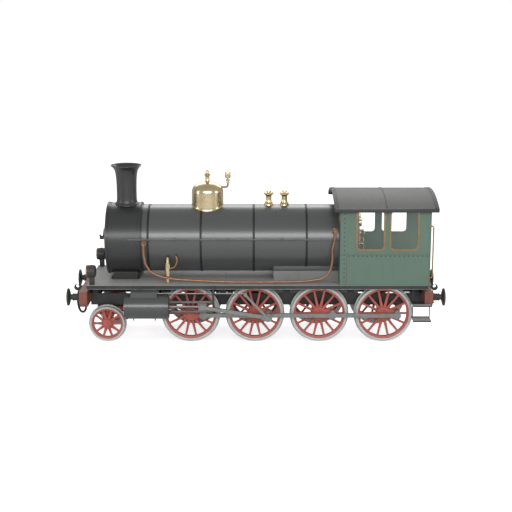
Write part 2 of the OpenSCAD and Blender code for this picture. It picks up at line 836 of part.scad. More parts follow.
module connecting_rod(side) {
    big = pin_at(1, side);
    small = [crosshead_x(side), cyl_z];
    on_side(side) color(steel) difference() {
        plate_left(connecting_y, connecting_out) {
            strip(small, big, 78);
            translate(big) circle(r = 92);
            translate(big) rotate(atan2(big.y - small.y, big.x - small.x)) translate([-130, -70]) square([150, 140]);
            translate(small) circle(r = 66);
        }
        pin_left(big.x, big.y, connecting_y - 1, connecting_out + 1, pin_r + fit);
    }
}
module left_connecting_rod() { connecting_rod(left); }
module right_connecting_rod() { connecting_rod(right); }

ecc_pin_r = 30;
module eccentric_rod(side) {
    big = pin_at(1, side);
    small = [valve_x(side), valve_z];
    on_side(side) color(steel) difference() {
        plate_left(eccentric_y, eccentric_out) {
            strip(small, big, 46);
            translate(big) circle(r = 62);
            translate(small) circle(r = 38);
        }
        pin_left(big.x, big.y, eccentric_y - 1, eccentric_out + 1, ecc_pin_r + fit);
    }
}
module left_eccentric_rod() { eccentric_rod(left); }
module right_eccentric_rod() { eccentric_rod(right); }

// ---- Wheels ----

// One wheel centre on the left: rim, spokes, hub
module wheel_centre(x, z, rim_r, hub_r, spokes, hub_out) {
    rim_w = 46;
    translate([x, 0, z]) {
        plate_left(wheel_back + 12, wheel_back + tyre_w - 14) difference() {
            circle(r = rim_r);
            circle(r = rim_r - rim_w);
        }
        plate_left(wheel_back + 40, wheel_back + 92)
            for (i = [0:spokes - 1]) rotate(360 * i / spokes)
                polygon([[hub_r - 12, -32], [rim_r - rim_w + 8, -22], [rim_r - rim_w + 8, 22], [hub_r - 12, 32]]);
        plate_left(wheel_back, hub_out) circle(r = hub_r);
    }
}

// Tyre ring on the left: flange, tread, and the bore that the wheel centre fills
module tyre(x, z, tread_r, t) {
    translate([x, -wheel_back, z]) rotate([90, 0, 0]) rotate_extrude() polygon([
        [tread_r - t, 0], [tread_r + flange_h - 10, 0], [tread_r + flange_h, 10], [tread_r + flange_h, 20],
        [tread_r + 6, flange_w + 6], [tread_r, flange_w + 16], [tread_r, tyre_w], [tread_r - t, tyre_w]]);
}

module driving_wheelset(i) {
    x = driver_x[i];
    color(red) pin_left(x, driver_z, -wheel_back, wheel_back, axle_r);
    for (side = [left, right]) {
        on_side(side) color(red) {
            wheel_centre(x, driver_z, driver_r - driver_tyre_t, 150, driver_spokes, wheel_back + 150);
            // Boss of the crank pin, and the web that joins it to the hub
            plate_left(wheel_back + 40, boss_y) translate([x, driver_z]) rotate(crank_angle[side]) {
                translate([crank, 0]) circle(r = 92);
                translate([0, -92]) square([crank, 184]);
            }
        }
        on_side(side) color(steel) {
            p = pin_at(i, side);
            pin_left(p.x, p.y, boss_y, coupling_y - play, 62);
            pin_left(p.x, p.y, coupling_y - play, coupling_out + play, pin_r);
            if (i == 1) {
                pin_left(p.x, p.y, coupling_out + play, connecting_y - play, 62);
                pin_left(p.x, p.y, connecting_y - play, connecting_out + play, pin_r);
                pin_left(p.x, p.y, connecting_out + play, eccentric_out + play, ecc_pin_r);
                pin_left(p.x, p.y, eccentric_out + play, eccentric_out + 14, 44);
            } else {
                pin_left(p.x, p.y, coupling_out + play, coupling_out + 14, 58);
            }
        }
    }
}
module driving_wheelset_1() { driving_wheelset(0); }
module driving_wheelset_2() { driving_wheelset(1); }
module driving_wheelset_3() { driving_wheelset(2); }
module driving_wheelset_4() { driving_wheelset(3); }

module driving_tyres(i) {
    color(steel) both_sides() tyre(driver_x[i], driver_z, driver_r, driver_tyre_t);
}
module driving_tyres_1() { driving_tyres(0); }
module driving_tyres_2() { driving_tyres(1); }
module driving_tyres_3() { driving_tyres(2); }
module driving_tyres_4() { driving_tyres(3); }

module leading_wheelset() {
    color(red) {
        pin_left(lead_x, lead_z, -wheel_back, wheel_back, lead_axle_r);
        both_sides() wheel_centre(lead_x, lead_z, lead_r - lead_tyre_t, 105, lead_spokes, wheel_back + tyre_w);
    }
}

module leading_tyres() {
    color(steel) both_sides() tyre(lead_x, lead_z, lead_r, lead_tyre_t);
}

module pony_truck_frame() {
    z0 = 585;
    z1 = 720;
    y = 600;
    color(red) {
        both_sides() {
            // Side plate with its axle box
            block([lead_x - 260, -y - 22, z0], [lead_x + 260, -y, z1]);
            difference() {
                block([lead_x - 110, -y - 40, lead_z - 100], [lead_x + 110, -y, z0]);
                pin_left(lead_x, lead_z, y - 1, y + 41, lead_axle_r + fit);
            }
        }
        for (x = [lead_x - 240, lead_x + 200]) block([x, -y, z0], [x + 40, y, z1]);
        // Arm back to the pivot
        difference() {
            union() {
                translate([0, 0, z0 + 15]) linear_extrude(60) {
                    polygon([[lead_x + 240, -260], [pony_pivot_x - 40, -60], [pony_pivot_x - 40, 60],
                        [lead_x + 240, 260]]);
                    translate([pony_pivot_x, 0]) circle(r = 80);
                }
            }
            translate([pony_pivot_x, 0, z0]) cylinder(h = 100, r = pony_pin_r + fit);
        }
    }
}

main_frame();
axle_boxes();
front_buffer_beam();
rear_buffer_beam();
front_buffers();
rear_buffers();
front_draw_hook();
rear_draw_hook();
front_brake_hose();
rear_brake_hose();
running_board();
boiler_barrel();
boiler_bands();
firebox();
smokebox();
smokebox_saddle();
chimney();
steam_dome();
whistle();
safety_valves();
handrails();
feed_pipes();
feed_elbows();
injectors();
backhead_fittings();
cab_floor();
cab_sides();
cab_front();
cab_roof();
cab_window_frames();
cab_glass();
cab_grab_rails();
cab_steps();
cylinders();
slide_bars();
valve_rods();
headlamps();
smokebox_door();
fire_door();
pony_truck_frame();
leading_wheelset();
leading_tyres();
driving_wheelset_1();
driving_wheelset_2();
driving_wheelset_3();
driving_wheelset_4();
driving_tyres_1();
driving_tyres_2();
driving_tyres_3();
driving_tyres_4();
left_coupling_rod();
right_coupling_rod();
left_connecting_rod();
right_connecting_rod();
left_eccentric_rod();
right_eccentric_rod();
left_crosshead();
right_crosshead();
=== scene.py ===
"""Looks of a 2-8-0 steam locomotive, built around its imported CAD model.

Every class below is one sub-assembly. It holds its own sizes and places in the CAD model's frame,
builds its meshes and dresses them. Lengths are in metres, the chimney end points along -X, the left
side along -Y, and +Z is up.
"""

from __future__ import annotations

import json
import logging
import math
from dataclasses import dataclass
from enum import Enum
from typing import Callable, Iterable, Sequence

import bmesh
import bpy
from mathutils import Matrix, Vector

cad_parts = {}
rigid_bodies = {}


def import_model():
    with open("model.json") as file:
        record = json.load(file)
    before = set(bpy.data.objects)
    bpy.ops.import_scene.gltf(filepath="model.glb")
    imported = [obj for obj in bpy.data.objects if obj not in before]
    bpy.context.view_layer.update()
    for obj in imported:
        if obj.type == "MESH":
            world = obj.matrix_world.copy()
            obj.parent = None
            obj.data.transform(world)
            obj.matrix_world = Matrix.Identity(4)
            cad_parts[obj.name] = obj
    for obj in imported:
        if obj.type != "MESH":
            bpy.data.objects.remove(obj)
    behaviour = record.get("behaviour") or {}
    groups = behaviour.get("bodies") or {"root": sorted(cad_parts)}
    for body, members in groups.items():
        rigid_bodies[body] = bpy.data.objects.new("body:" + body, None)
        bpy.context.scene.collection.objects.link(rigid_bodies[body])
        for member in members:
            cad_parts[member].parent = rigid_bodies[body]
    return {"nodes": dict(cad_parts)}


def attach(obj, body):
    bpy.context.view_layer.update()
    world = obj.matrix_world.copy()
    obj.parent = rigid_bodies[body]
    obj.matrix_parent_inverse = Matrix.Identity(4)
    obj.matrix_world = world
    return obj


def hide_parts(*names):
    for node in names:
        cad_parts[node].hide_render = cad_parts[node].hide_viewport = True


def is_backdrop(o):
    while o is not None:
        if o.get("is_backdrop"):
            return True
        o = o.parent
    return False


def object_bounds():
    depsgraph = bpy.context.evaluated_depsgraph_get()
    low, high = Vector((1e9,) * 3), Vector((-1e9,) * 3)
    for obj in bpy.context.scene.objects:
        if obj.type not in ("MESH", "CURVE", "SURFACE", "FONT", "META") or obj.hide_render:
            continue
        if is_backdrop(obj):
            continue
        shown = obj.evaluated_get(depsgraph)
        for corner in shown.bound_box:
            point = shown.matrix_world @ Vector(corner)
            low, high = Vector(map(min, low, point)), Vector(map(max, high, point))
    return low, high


LOG = logging.getLogger("locomotive")
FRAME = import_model()
CAD_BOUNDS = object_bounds()

Colour = tuple[float, float, float]
Profile = Sequence[tuple[float, float]]
LEFT = -1
RIGHT = 1
SIDES = (LEFT, RIGHT)
SIDE_NAMES = {LEFT: "left", RIGHT: "right"}
FRONT = -1
REAR = 1
ENDS = (FRONT, REAR)
END_NAMES = {FRONT: "front", REAR: "rear"}

BOILER_Z = 2.165
BOILER_R = 0.732
SMOKEBOX_R = 0.771
COUPLED_XS = (-1.415, -0.023, 1.369, 2.761)
MAIN_AXLE = 2
COUPLED_Z = 0.643
CRANK = 0.28


class Axis(Enum):
    """Direction that a turned or repeated shape points along."""

    X = "x"
    Y = "y"
    Z = "z"


def facing(axis: Axis, sign: int = 1) -> Matrix:
    """Turn that takes local +Z to an axis of the engine.

    Args:
        axis: The axis to point along.
        sign: 1 for its positive direction, -1 for its negative one.

    Returns:
        A rotation matrix.
    """
    if axis is Axis.X:
        return Matrix.Rotation(sign * math.pi / 2, 4, "Y")
    if axis is Axis.Y:
        return Matrix.Rotation(-sign * math.pi / 2, 4, "X")
    return Matrix.Rotation(0 if sign > 0 else math.pi, 4, "X")


def at(x: float, y: float, z: float, axis: Axis = Axis.Z, sign: int = 1) -> Matrix:
    """Place and direction of a turned shape, as one matrix.

    Args:
        x: Place along the engine.
        y: Place across it.
        z: Height.
        axis: Where local +Z points.
        sign: 1 for the axis' positive direction, -1 for its negative one.

    Returns:
        The placing matrix.
    """
    return Matrix.Translation((x, y, z)) @ facing(axis, sign)


def raised(place: Matrix, height: float) -> Matrix:
    """The same place, moved along its own local +Z."""
    return place @ Matrix.Translation((0, 0, height))


def across(side: int, near: float, far: float) -> list[float]:
    """Two distances from the centre plane on one side, as rising values of Y."""
    return sorted((side * near, side * far))


def arc(cx: float, cy: float, r: float, a0: float, a1: float, steps: int = 8) -> list[tuple[float, float]]:
    """Points of a round stretch of a profile.

    Args:
        cx: First coordinate of the centre.
        cy: Second coordinate of the centre.
        r: Radius.
        a0: Angle of the first point, in degrees.
        a1: Angle of the last point, in degrees.
        steps: Number of steps between them.

    Returns:
        The points, in order.
    """
    turn = [math.radians(a0 + (a1 - a0) * i / steps) for i in range(steps + 1)]
    return [(cx + r * math.cos(a), cy + r * math.sin(a)) for a in turn]


def smooth_path(points: Sequence[Sequence[float]], per_span: int = 8) -> list[Vector]:
    """Rounds a route of given points with a Catmull-Rom curve.

    Args:
        points: The route, as three numbers a point.
        per_span: New points between two route points.

    Returns:
        The points of the rounded route.
    """
    p = [Vector(q) for q in points]
    p = [2 * p[0] - p[1], *p, 2 * p[-1] - p[-2]]
    out = []
    for i in range(1, len(p) - 2):
        for k in range(per_span):
            t = k / per_span
            a = 2 * p[i]
            b = p[i + 1] - p[i - 1]
            c = 2 * p[i - 1] - 5 * p[i] + 4 * p[i + 1] - p[i + 2]
            d = 3 * p[i] - p[i - 1] - 3 * p[i + 1] + p[i + 2]
            out.append(0.5 * (a + b * t + c * t * t + d * t**3))
    return [*out, p[-2]]


def in_scene(name: str, data: bpy.types.ID) -> bpy.types.Object:
    """Makes an object of some data and links it to the scene."""
    made = bpy.data.objects.new(name, data)
    bpy.context.scene.collection.objects.link(made)
    return made


def as_mesh(part: bmesh.types.BMesh, name: str) -> bpy.types.Mesh:
    """Turns a bmesh into a mesh and frees it.

    Args:
        part: The bmesh.
        name: Name of the mesh.

    Returns:
        The mesh.
    """
    mesh = bpy.data.meshes.new(name)
    part.to_mesh(mesh)
    part.free()
    return mesh


def wire(tree: bpy.types.NodeTree, *pairs: tuple[bpy.types.NodeSocket, bpy.types.NodeSocket]) -> None:
    """Joins pairs of sockets, each as its output and its input."""
    for start, end in pairs:
        tree.links.new(start, end)


def preset(node: bpy.types.Node, values: dict[str, object]) -> bpy.types.Node:
    """Sets a node's inputs; a colour of three numbers gets an alpha of 1.

    Args:
        node: The node.
        values: Values of its inputs by name.

    Returns:
        The same node.
    """
    for key, value in values.items():
        colour = isinstance(value, tuple) and len(value) == 3
        node.inputs[key].default_value = (*value, 1) if colour else value
    return node


# ---------------------------------------------------------------- shader groups


class ShaderGroup:
    """A shader node group with named inputs and outputs, built once and placed in many materials."""

    def __init__(self, name: str, inputs: dict[str, float | Colour], outputs: Iterable[str]) -> None:
        """Makes the group's sockets.

        Args:
            name: Name of the group.
            inputs: Name and default of each input: a number, or a colour of three.
            outputs: Names of the outputs; Color is a colour and the rest are numbers.
        """
        self.tree = bpy.data.node_groups.new(name, "ShaderNodeTree")
        for key, value in inputs.items():
            kind = "NodeSocketColor" if isinstance(value, tuple) else "NodeSocketFloat"
            socket = self.tree.interface.new_socket(key, in_out="INPUT", socket_type=kind)
            socket.default_value = (*value, 1) if isinstance(value, tuple) else value
        for key in outputs:
            kind = "NodeSocketColor" if key == "Color" else "NodeSocketFloat"
            self.tree.interface.new_socket(key, in_out="OUTPUT", socket_type=kind)
        self.source = self.tree.nodes.new("NodeGroupInput")
        self.sink = self.tree.nodes.new("NodeGroupOutput")

    def node(self, kind: str, **settings: object) -> bpy.types.Node:
        """Adds a node and sets its properties.

        Args:
            kind: The node's type.
            settings: Its properties by name.

        Returns:
            The new node.
        """
        made = self.tree.nodes.new(kind)
        for key, value in settings.items():
            setattr(made, key, value)
        return made

    def link(self, start: bpy.types.NodeSocket, end: bpy.types.NodeSocket) -> None:
        """Joins two sockets."""
        self.tree.links.new(start, end)

    def noise(self, scale: float, detail: float = 4, stretch: Colour = (1, 1, 1)) -> bpy.types.NodeSocket:
        """Noise on object coordinates.

        Args:
            scale: Scale of the noise.
            detail: Octaves.
            stretch: Scale along each axis, for streaks.

        Returns:
            The noise value's socket.
        """
        place = self.node("ShaderNodeTexCoord")
        mapping = self.node("ShaderNodeMapping")
        mapping.inputs["Scale"].default_value = stretch
        texture = preset(self.node("ShaderNodeTexNoise"), {"Scale": scale, "Detail": detail})
        self.link(place.outputs["Object"], mapping.inputs["Vector"])
        self.link(mapping.outputs["Vector"], texture.inputs["Vector"])
        return texture.outputs["Fac"]

    def math(self, operation: str, a: object, b: object = 0.0, clamp: bool = False) -> bpy.types.NodeSocket:
        """A math node on two sockets or numbers.

        Args:
            operation: What it works out.
            a: First socket or number.
            b: Second socket or number.
            clamp: True keeps the result between 0 and 1.

        Returns:
            The result's socket.
        """
        made = self.node("ShaderNodeMath", operation=operation, use_clamp=clamp)
        for index, value in enumerate((a, b)):
            if isinstance(value, bpy.types.NodeSocket):
                self.link(value, made.inputs[index])
            else:
                made.inputs[index].default_value = value
        return made.outputs[0]

    def ramp(self, value: bpy.types.NodeSocket, low: float, high: float) -> bpy.types.NodeSocket:
        """Stretches a value, with soft ends.

        Args:
            value: The value's socket.
            low: What becomes 0.
            high: What becomes 1.

        Returns:
            The result's socket.
        """
        made = preset(self.node("ShaderNodeMapRange", interpolation_type="SMOOTHSTEP"),
                      {"From Min": low, "From Max": high})
        self.link(value, made.inputs["Value"])
        return made.outputs["Result"]

    def mix(self, mask: bpy.types.NodeSocket, a: object, b: object,
            blend: str = "MIX") -> bpy.types.NodeSocket:
        """Mixes two colours.

        Args:
            mask: How much of the second one shows.
            a: First socket or colour.
            b: Second socket or colour.
            blend: How they mix.

        Returns:
            The mixed colour's socket.
        """
        made = self.node("ShaderNodeMix", data_type="RGBA", blend_type=blend)
        self.link(mask, made.inputs[0])
        for index, value in ((6, a), (7, b)):
            if isinstance(value, bpy.types.NodeSocket):
                self.link(value, made.inputs[index])
            else:
                made.inputs[index].default_value = (*value, 1)
        return made.outputs[2]


def painted_group() -> ShaderGroup:
    """Old paint: patches of tone, dust on upward faces, fine grime, chips of bare metal.

    Returns:
        The group, which gives a colour, a roughness and a height.
    """
    g = ShaderGroup(
        "old_paint",
        {"Paint": (0.5, 0.5, 0.5), "Dust": (0.4, 0.37, 0.33), "Dust Amount": 0.2, "Grime": 0.3, "Chips": 0.1,
         "Roughness": 0.4},
        ("Color", "Roughness", "Height"),
    )
    i = g.source.outputs
    broad = g.ramp(g.noise(1.6, 5), 0.35, 0.68)
    fine = g.noise(38, 6)
    speck = g.noise(120, 3)
    streak = g.noise(5, 4, (2.2, 2.2, 0.35))
    coord = g.node("ShaderNodeTexCoord")
    split = g.node("ShaderNodeSeparateXYZ")
    g.link(coord.outputs["Normal"], split.inputs[0])
    up = g.ramp(split.outputs["Z"], 0.15, 0.95)
    toned = g.mix(g.math("MULTIPLY", broad, 0.35), i["Paint"], (0.5, 0.5, 0.5), "SOFT_LIGHT")
    grime = g.math("MULTIPLY", g.math("MULTIPLY", g.ramp(streak, 0.42, 0.72), i["Grime"]), 0.6, True)
    dirty = g.mix(grime, toned, (0.018, 0.016, 0.014))
    dusty = g.math("MULTIPLY", g.math("ADD", g.math("MULTIPLY", up, 0.75), g.math("MULTIPLY", broad, 0.35)),
                   i["Dust Amount"], True)
    dusted = g.mix(g.math("MULTIPLY", dusty, g.ramp(fine, 0.2, 0.75)), dirty, i["Dust"])
    chips = g.math("MULTIPLY", g.ramp(speck, 0.66, 0.72), i["Chips"], True)
    g.link(g.mix(chips, dusted, (0.16, 0.11, 0.085)), g.sink.inputs["Color"])
    rough = g.math("ADD", i["Roughness"], g.math("MULTIPLY", g.math("SUBTRACT", fine, 0.5), 0.22))
    rough = g.math("ADD", rough, g.math("MULTIPLY", dusty, 0.4), True)
    g.link(rough, g.sink.inputs["Roughness"])
    height = g.math("ADD", g.math("MULTIPLY", fine, 0.35), g.math("MULTIPLY", broad, 0.65))
    g.link(g.math("SUBTRACT", height, g.math("MULTIPLY", chips, 0.8)), g.sink.inputs["Height"])
    return g


def bare_group() -> ShaderGroup:
    """Bare metal: brushed grain, with tarnish in patches and specks.

    Returns:
        The group, which gives a colour, a roughness and a height.
    """
    g = ShaderGroup(
        "bare_metal",
        {"Metal": (0.6, 0.6, 0.6), "Tarnish": (0.2, 0.15, 0.1), "Tarnish Amount": 0.4, "Roughness": 0.3},
        ("Color", "Roughness", "Height"),
    )
    i = g.source.outputs
    patch = g.ramp(g.noise(7, 6), 0.38, 0.7)
    grain = g.noise(60, 4, (1, 1, 7))
    speck = g.ramp(g.noise(90, 4), 0.55, 0.8)
    amount = g.math("ADD", g.math("MULTIPLY", patch, 0.6), g.math("MULTIPLY", speck, 0.4))
    mask = g.math("MULTIPLY", amount, i["Tarnish Amount"], True)
    g.link(g.mix(mask, i["Metal"], i["Tarnish"]), g.sink.inputs["Color"])
    rough = g.math("ADD", i["Roughness"], g.math("MULTIPLY", g.math("SUBTRACT", grain, 0.5), 0.15))
    g.link(g.math("ADD", rough, g.math("MULTIPLY", mask, 0.3), True), g.sink.inputs["Roughness"])
    height = g.math("ADD", g.math("MULTIPLY", grain, 0.6), g.math("MULTIPLY", patch, 0.4))
    g.link(height, g.sink.inputs["Height"])
    return g


PAINTED = painted_group()
BARE = bare_group()


# ---------------------------------------------------------------- finishes


@dataclass(frozen=True)
class Finish:
    """What every finish has: a name, and the record's slot that it belongs to."""

    name: str
    slot: str

    def material(self) -> bpy.types.Material:
        """Builds the material; each kind of finish has its own."""
        raise NotImplementedError

    def fresh(self) -> tuple[bpy.types.Material, bpy.types.ShaderNodeTree, bpy.types.Node]:
        """Makes an empty material.

        Returns:
            The material, its node tree and its Principled BSDF.
        """
        material = bpy.data.materials.new(self.name)
        material.use_nodes = True
        tree = material.node_tree
        return material, tree, tree.nodes["Principled BSDF"]

    @staticmethod
    def dress(tree: bpy.types.ShaderNodeTree, shader: bpy.types.Node, group: ShaderGroup,
              values: dict[str, float | Colour], bump: float, depth: float) -> None:
        """Places a shader group in a material and joins its outputs to the shader.

        Args:
            tree: The material's node tree.
            shader: Its Principled BSDF.
            group: The group to place.
            values: Values of the group's inputs.
            bump: Strength of the bump.
            depth: Height of the bump in metres.
        """
        placed = tree.nodes.new("ShaderNodeGroup")
        placed.node_tree = group.tree
        preset(placed, values)
        relief = preset(tree.nodes.new("ShaderNodeBump"), {"Strength": bump, "Distance": depth})
        wire(
            tree,
            (placed.outputs["Color"], shader.inputs["Base Color"]),
            (placed.outputs["Roughness"], shader.inputs["Roughness"]),
            (placed.outputs["Height"], relief.inputs["Height"]),
            (relief.outputs["Normal"], shader.inputs["Normal"]),
        )


@dataclass(frozen=True)
class Paint(Finish):
    """Oil paint on steel plate, weathered."""

    colour: Colour
    roughness: float = 0.38
    dust: float = 0.22
    grime: float = 0.3
    chips: float = 0.12
    bump: float = 0.25
    coat: float = 0.0

    def material(self) -> bpy.types.Material:
        """Builds the material.

        Returns:
            The new material.
        """
        material, tree, shader = self.fresh()
        preset(shader, {"Coat Weight": self.coat, "Coat Roughness": 0.30, "Coat IOR": 1.8})
        self.dress(tree, shader, PAINTED, {
            "Paint": self.colour, "Dust Amount": self.dust, "Grime": self.grime, "Chips": self.chips,
            "Roughness": self.roughness}, self.bump, 0.002)
        return material


@dataclass(frozen=True)
class Metal(Finish):
    """Bare metal, turned, rolled or cast."""

    colour: Colour
    tarnish: Colour
    amount: float = 0.4
    roughness: float = 0.3
    metallic: float = 1.0

    def material(self) -> bpy.types.Material:
        """Builds the material.

        Returns:
            The new material.
        """
        material, tree, shader = self.fresh()
        shader.inputs["Metallic"].default_value = self.metallic
        self.dress(tree, shader, BARE, {
            "Metal": self.colour, "Tarnish": self.tarnish, "Tarnish Amount": self.amount,
            "Roughness": self.roughness}, 0.15, 0.001)
        return material


@dataclass(frozen=True)
class Glass(Finish):
    """Clear window glass."""

    def material(self) -> bpy.types.Material:
        """Builds the material.

        Returns:
            The new material.
        """
        material, _, shader = self.fresh()
        preset(shader, {"Base Color": (0.80, 0.88, 0.86), "Roughness": 0.03, "IOR": 1.45, "Alpha": 0.03})
        return material


@dataclass(frozen=True)
class Planks(Finish):
    """Oiled floor planks that run across the cab."""

    width: float = 0.16

    def material(self) -> bpy.types.Material:
        """Builds the material.

        Returns:
            The new material.
        """
        material, tree, shader = self.fresh()
        place = tree.nodes.new("ShaderNodeTexCoord")
        wave = tree.nodes.new("ShaderNodeTexWave")
        wave.wave_profile = "SAW"
        preset(wave, {"Scale": 0.32 / self.width, "Distortion": 0.3})
        grain = preset(tree.nodes.new("ShaderNodeTexNoise"), {"Scale": 14})
        ramp = tree.nodes.new("ShaderNodeValToRGB")
        ramp.color_ramp.elements[0].color = (0.05, 0.035, 0.025, 1)
        ramp.color_ramp.elements[1].color = (0.17, 0.12, 0.085, 1)
        bump = preset(tree.nodes.new("ShaderNodeBump"), {"Strength": 0.4, "Distance": 0.004})
        preset(shader, {"Roughness": 0.65})
        wire(
            tree,
            (place.outputs["Object"], wave.inputs["Vector"]),
            (place.outputs["Object"], grain.inputs["Vector"]),
            (grain.outputs["Fac"], ramp.inputs["Fac"]),
            (ramp.outputs["Color"], shader.inputs["Base Color"]),
            (wave.outputs["Fac"], bump.inputs["Height"]),
            (bump.outputs["Normal"], shader.inputs["Normal"]),
        )
        return material


class Palette:
    """All finishes of the engine, each made once."""

    def __init__(self) -> None:
        """Builds every material."""
        soot = (0.05, 0.04, 0.035)
        self.red = Paint("red_paint", "red_paint", (0.50, 0.115, 0.088), 0.42, 0.1, 0.25, 0.1)
        self.beam = Paint("beam_red", "red_paint", (0.25, 0.082, 0.058), 0.45, 0.1, 0.35, 0.14)
        self.green = Paint("green_paint", "green_paint", (0.122, 0.190, 0.148), 0.5, 0.04, 0.10, 0.03, 0.12)
        self.black = Paint("black_paint", "black_paint", (0.03, 0.034, 0.034), 0.45, 0.16, 0.2, 0.08)
        self.smoke = Paint(
            "smokebox_black", "black_paint", (0.019, 0.021, 0.0205), 0.40, 0.03, 0.15, 0.05, 0.12, 0.3)
        self.boiler = Paint(
            "boiler_paint", "boiler_paint", (0.062, 0.068, 0.067), 0.32, 0.03, 0.1, 0.02, 0.08, 0.6)
        self.cylinder = Paint(
            "cylinder_lagging", "black_paint", (0.055, 0.060, 0.060), 0.34, 0.03, 0.15, 0.04, 0.1, 0.6)
        self.board = Paint("board_plate", "board_plate", (0.40, 0.40, 0.39), 0.62, 0.1, 0.15, 0.05)
        self.lagging = Paint("firebox_lagging", "boiler_paint", (0.25, 0.252, 0.245), 0.55, 0.05, 0.15, 0.04)
        self.band = Paint("band_black", "black_paint", (0.012, 0.013, 0.013), 0.5, 0.02, 0.1, 0.04)
        self.roof = Paint("roof_sheet", "roof_sheet", (0.14, 0.142, 0.14), 0.5, 0.1, 0.2, 0.05)
        self.roof_edge = Paint("roof_edge", "roof_sheet", (0.085, 0.087, 0.085), 0.5, 0.1, 0.2, 0.08)
        self.tread = Paint("tread_plate", "board_plate", (0.52, 0.53, 0.52), 0.55, 0.1, 0.2, 0.1)
        self.rust = Paint("rusty_plate", "black_paint", (0.14, 0.075, 0.045), 0.85, 0.2, 0.5, 0.6)
        self.rod = Metal("rod_steel", "rod_steel", (0.33, 0.35, 0.338), soot, 0.35, 0.38, 0.75)
        self.tyre = Metal(
            "tyre_steel", "tyre_steel", (0.60, 0.62, 0.60), (0.28, 0.265, 0.245), 0.35, 0.45, 0.35)
        self.brass = Metal("brass", "brass", (0.72, 0.59, 0.37), (0.38, 0.27, 0.14), 0.3, 0.25)
        self.dull_brass = Metal(
            "dull_brass", "brass", (0.34, 0.235, 0.125), (0.15, 0.10, 0.05), 0.45, 0.42, 0.8)
        self.copper = Metal("copper", "copper", (0.40, 0.205, 0.125), (0.17, 0.085, 0.05), 0.4, 0.42, 0.8)
        self.iron = Metal("bright_iron", "rod_steel", (0.20, 0.21, 0.205), soot, 0.4, 0.45, 0.7)
        self.rubber = Paint("hose_rubber", "hose_rubber", (0.018, 0.018, 0.018), 0.75, 0.2, 0.1, 0.0, 0.5)
        self.glass = Glass("window_glass", "window_glass")
        self.wood = Planks("floor_wood", "floor_wood")
        self.made: dict[str, bpy.types.Material] = {}

    def get(self, finish: Finish) -> bpy.types.Material:
        """The material of a finish, built on first use.

        Args:
            finish: The finish.

        Returns:
            Its material.
        """
        if finish.name not in self.made:
            self.made[finish.name] = finish.material()
        return self.made[finish.name]


PALETTE = Palette()


# ---------------------------------------------------------------- making shapes


@dataclass(frozen=True)
class Repeat:
    """What a repeated fastening looks like: sides of its head, its radius and its height."""

    sides: int
    radius: float
    height: float
    dome: bool = False


RIVET = Repeat(8, 0.011, 0.007, True)
SMALL_RIVET = Repeat(8, 0.008, 0.005, True)
CAB_RIVET = Repeat(10, 0.0135, 0.008, True)
NUT = Repeat(6, 0.024, 0.026)
SMALL_NUT = Repeat(6, 0.015, 0.016)


class Pattern(Enum):
    """How a repeated fastening is laid out."""

    RING = "ring"
    ROW = "row"


class NodesTool:
    """A Geometry Nodes tree with named inputs, whose result is turned into a plain mesh."""

    def __init__(self, name: str, inputs: dict[str, str]) -> None:
        """Makes the tree's sockets.

        Args:
            name: Name of the tree.
            inputs: Name and kind of each input; the Geometry output is added.
        """
        self.tree = bpy.data.node_groups.new(name, "GeometryNodeTree")
        face = self.tree.interface
        face.new_socket("Geometry", in_out="OUTPUT", socket_type="NodeSocketGeometry")
        self.ids = {key: face.new_socket(key, in_out="INPUT", socket_type=f"NodeSocket{kind}").identifier
                    for key, kind in inputs.items()}
        self.given = self.tree.nodes.new("NodeGroupInput").outputs

    def new(self, kind: str) -> bpy.types.Node:
        """Adds a node."""
        return self.tree.nodes.new(kind)

    def end(self, seat: bpy.types.Node) -> None:
        """Makes the instances real, gives them their material and ends the tree.

        Args:
            seat: The node that sets the instances.
        """
        solid = self.new("GeometryNodeRealizeInstances")
        coat = self.new("GeometryNodeSetMaterial")
        wire(
            self.tree,
            (seat.outputs["Instances"], solid.inputs["Geometry"]),
            (solid.outputs["Geometry"], coat.inputs["Geometry"]),
            (self.given["Material"], coat.inputs["Material"]),
            (coat.outputs["Geometry"], self.new("NodeGroupOutput").inputs["Geometry"]),
        )

    def evaluate(self, base: bpy.types.Mesh, values: dict[str, object]) -> bpy.types.Mesh:
        """Runs the tree.

        Args:
            base: The mesh that it works on.
            values: Values of its inputs by name.

        Returns:
            A plain mesh around the origin.
        """
        carrier = in_scene("carrier", base)
        modifier = carrier.modifiers.new("repeat", "NODES")
        modifier.node_group = self.tree
        for key, value in values.items():
            modifier[self.ids[key]] = value
        graph = bpy.context.evaluated_depsgraph_get()
        mesh = bpy.data.meshes.new_from_object(carrier.evaluated_get(graph), depsgraph=graph)
        bpy.data.objects.remove(carrier)
        return mesh


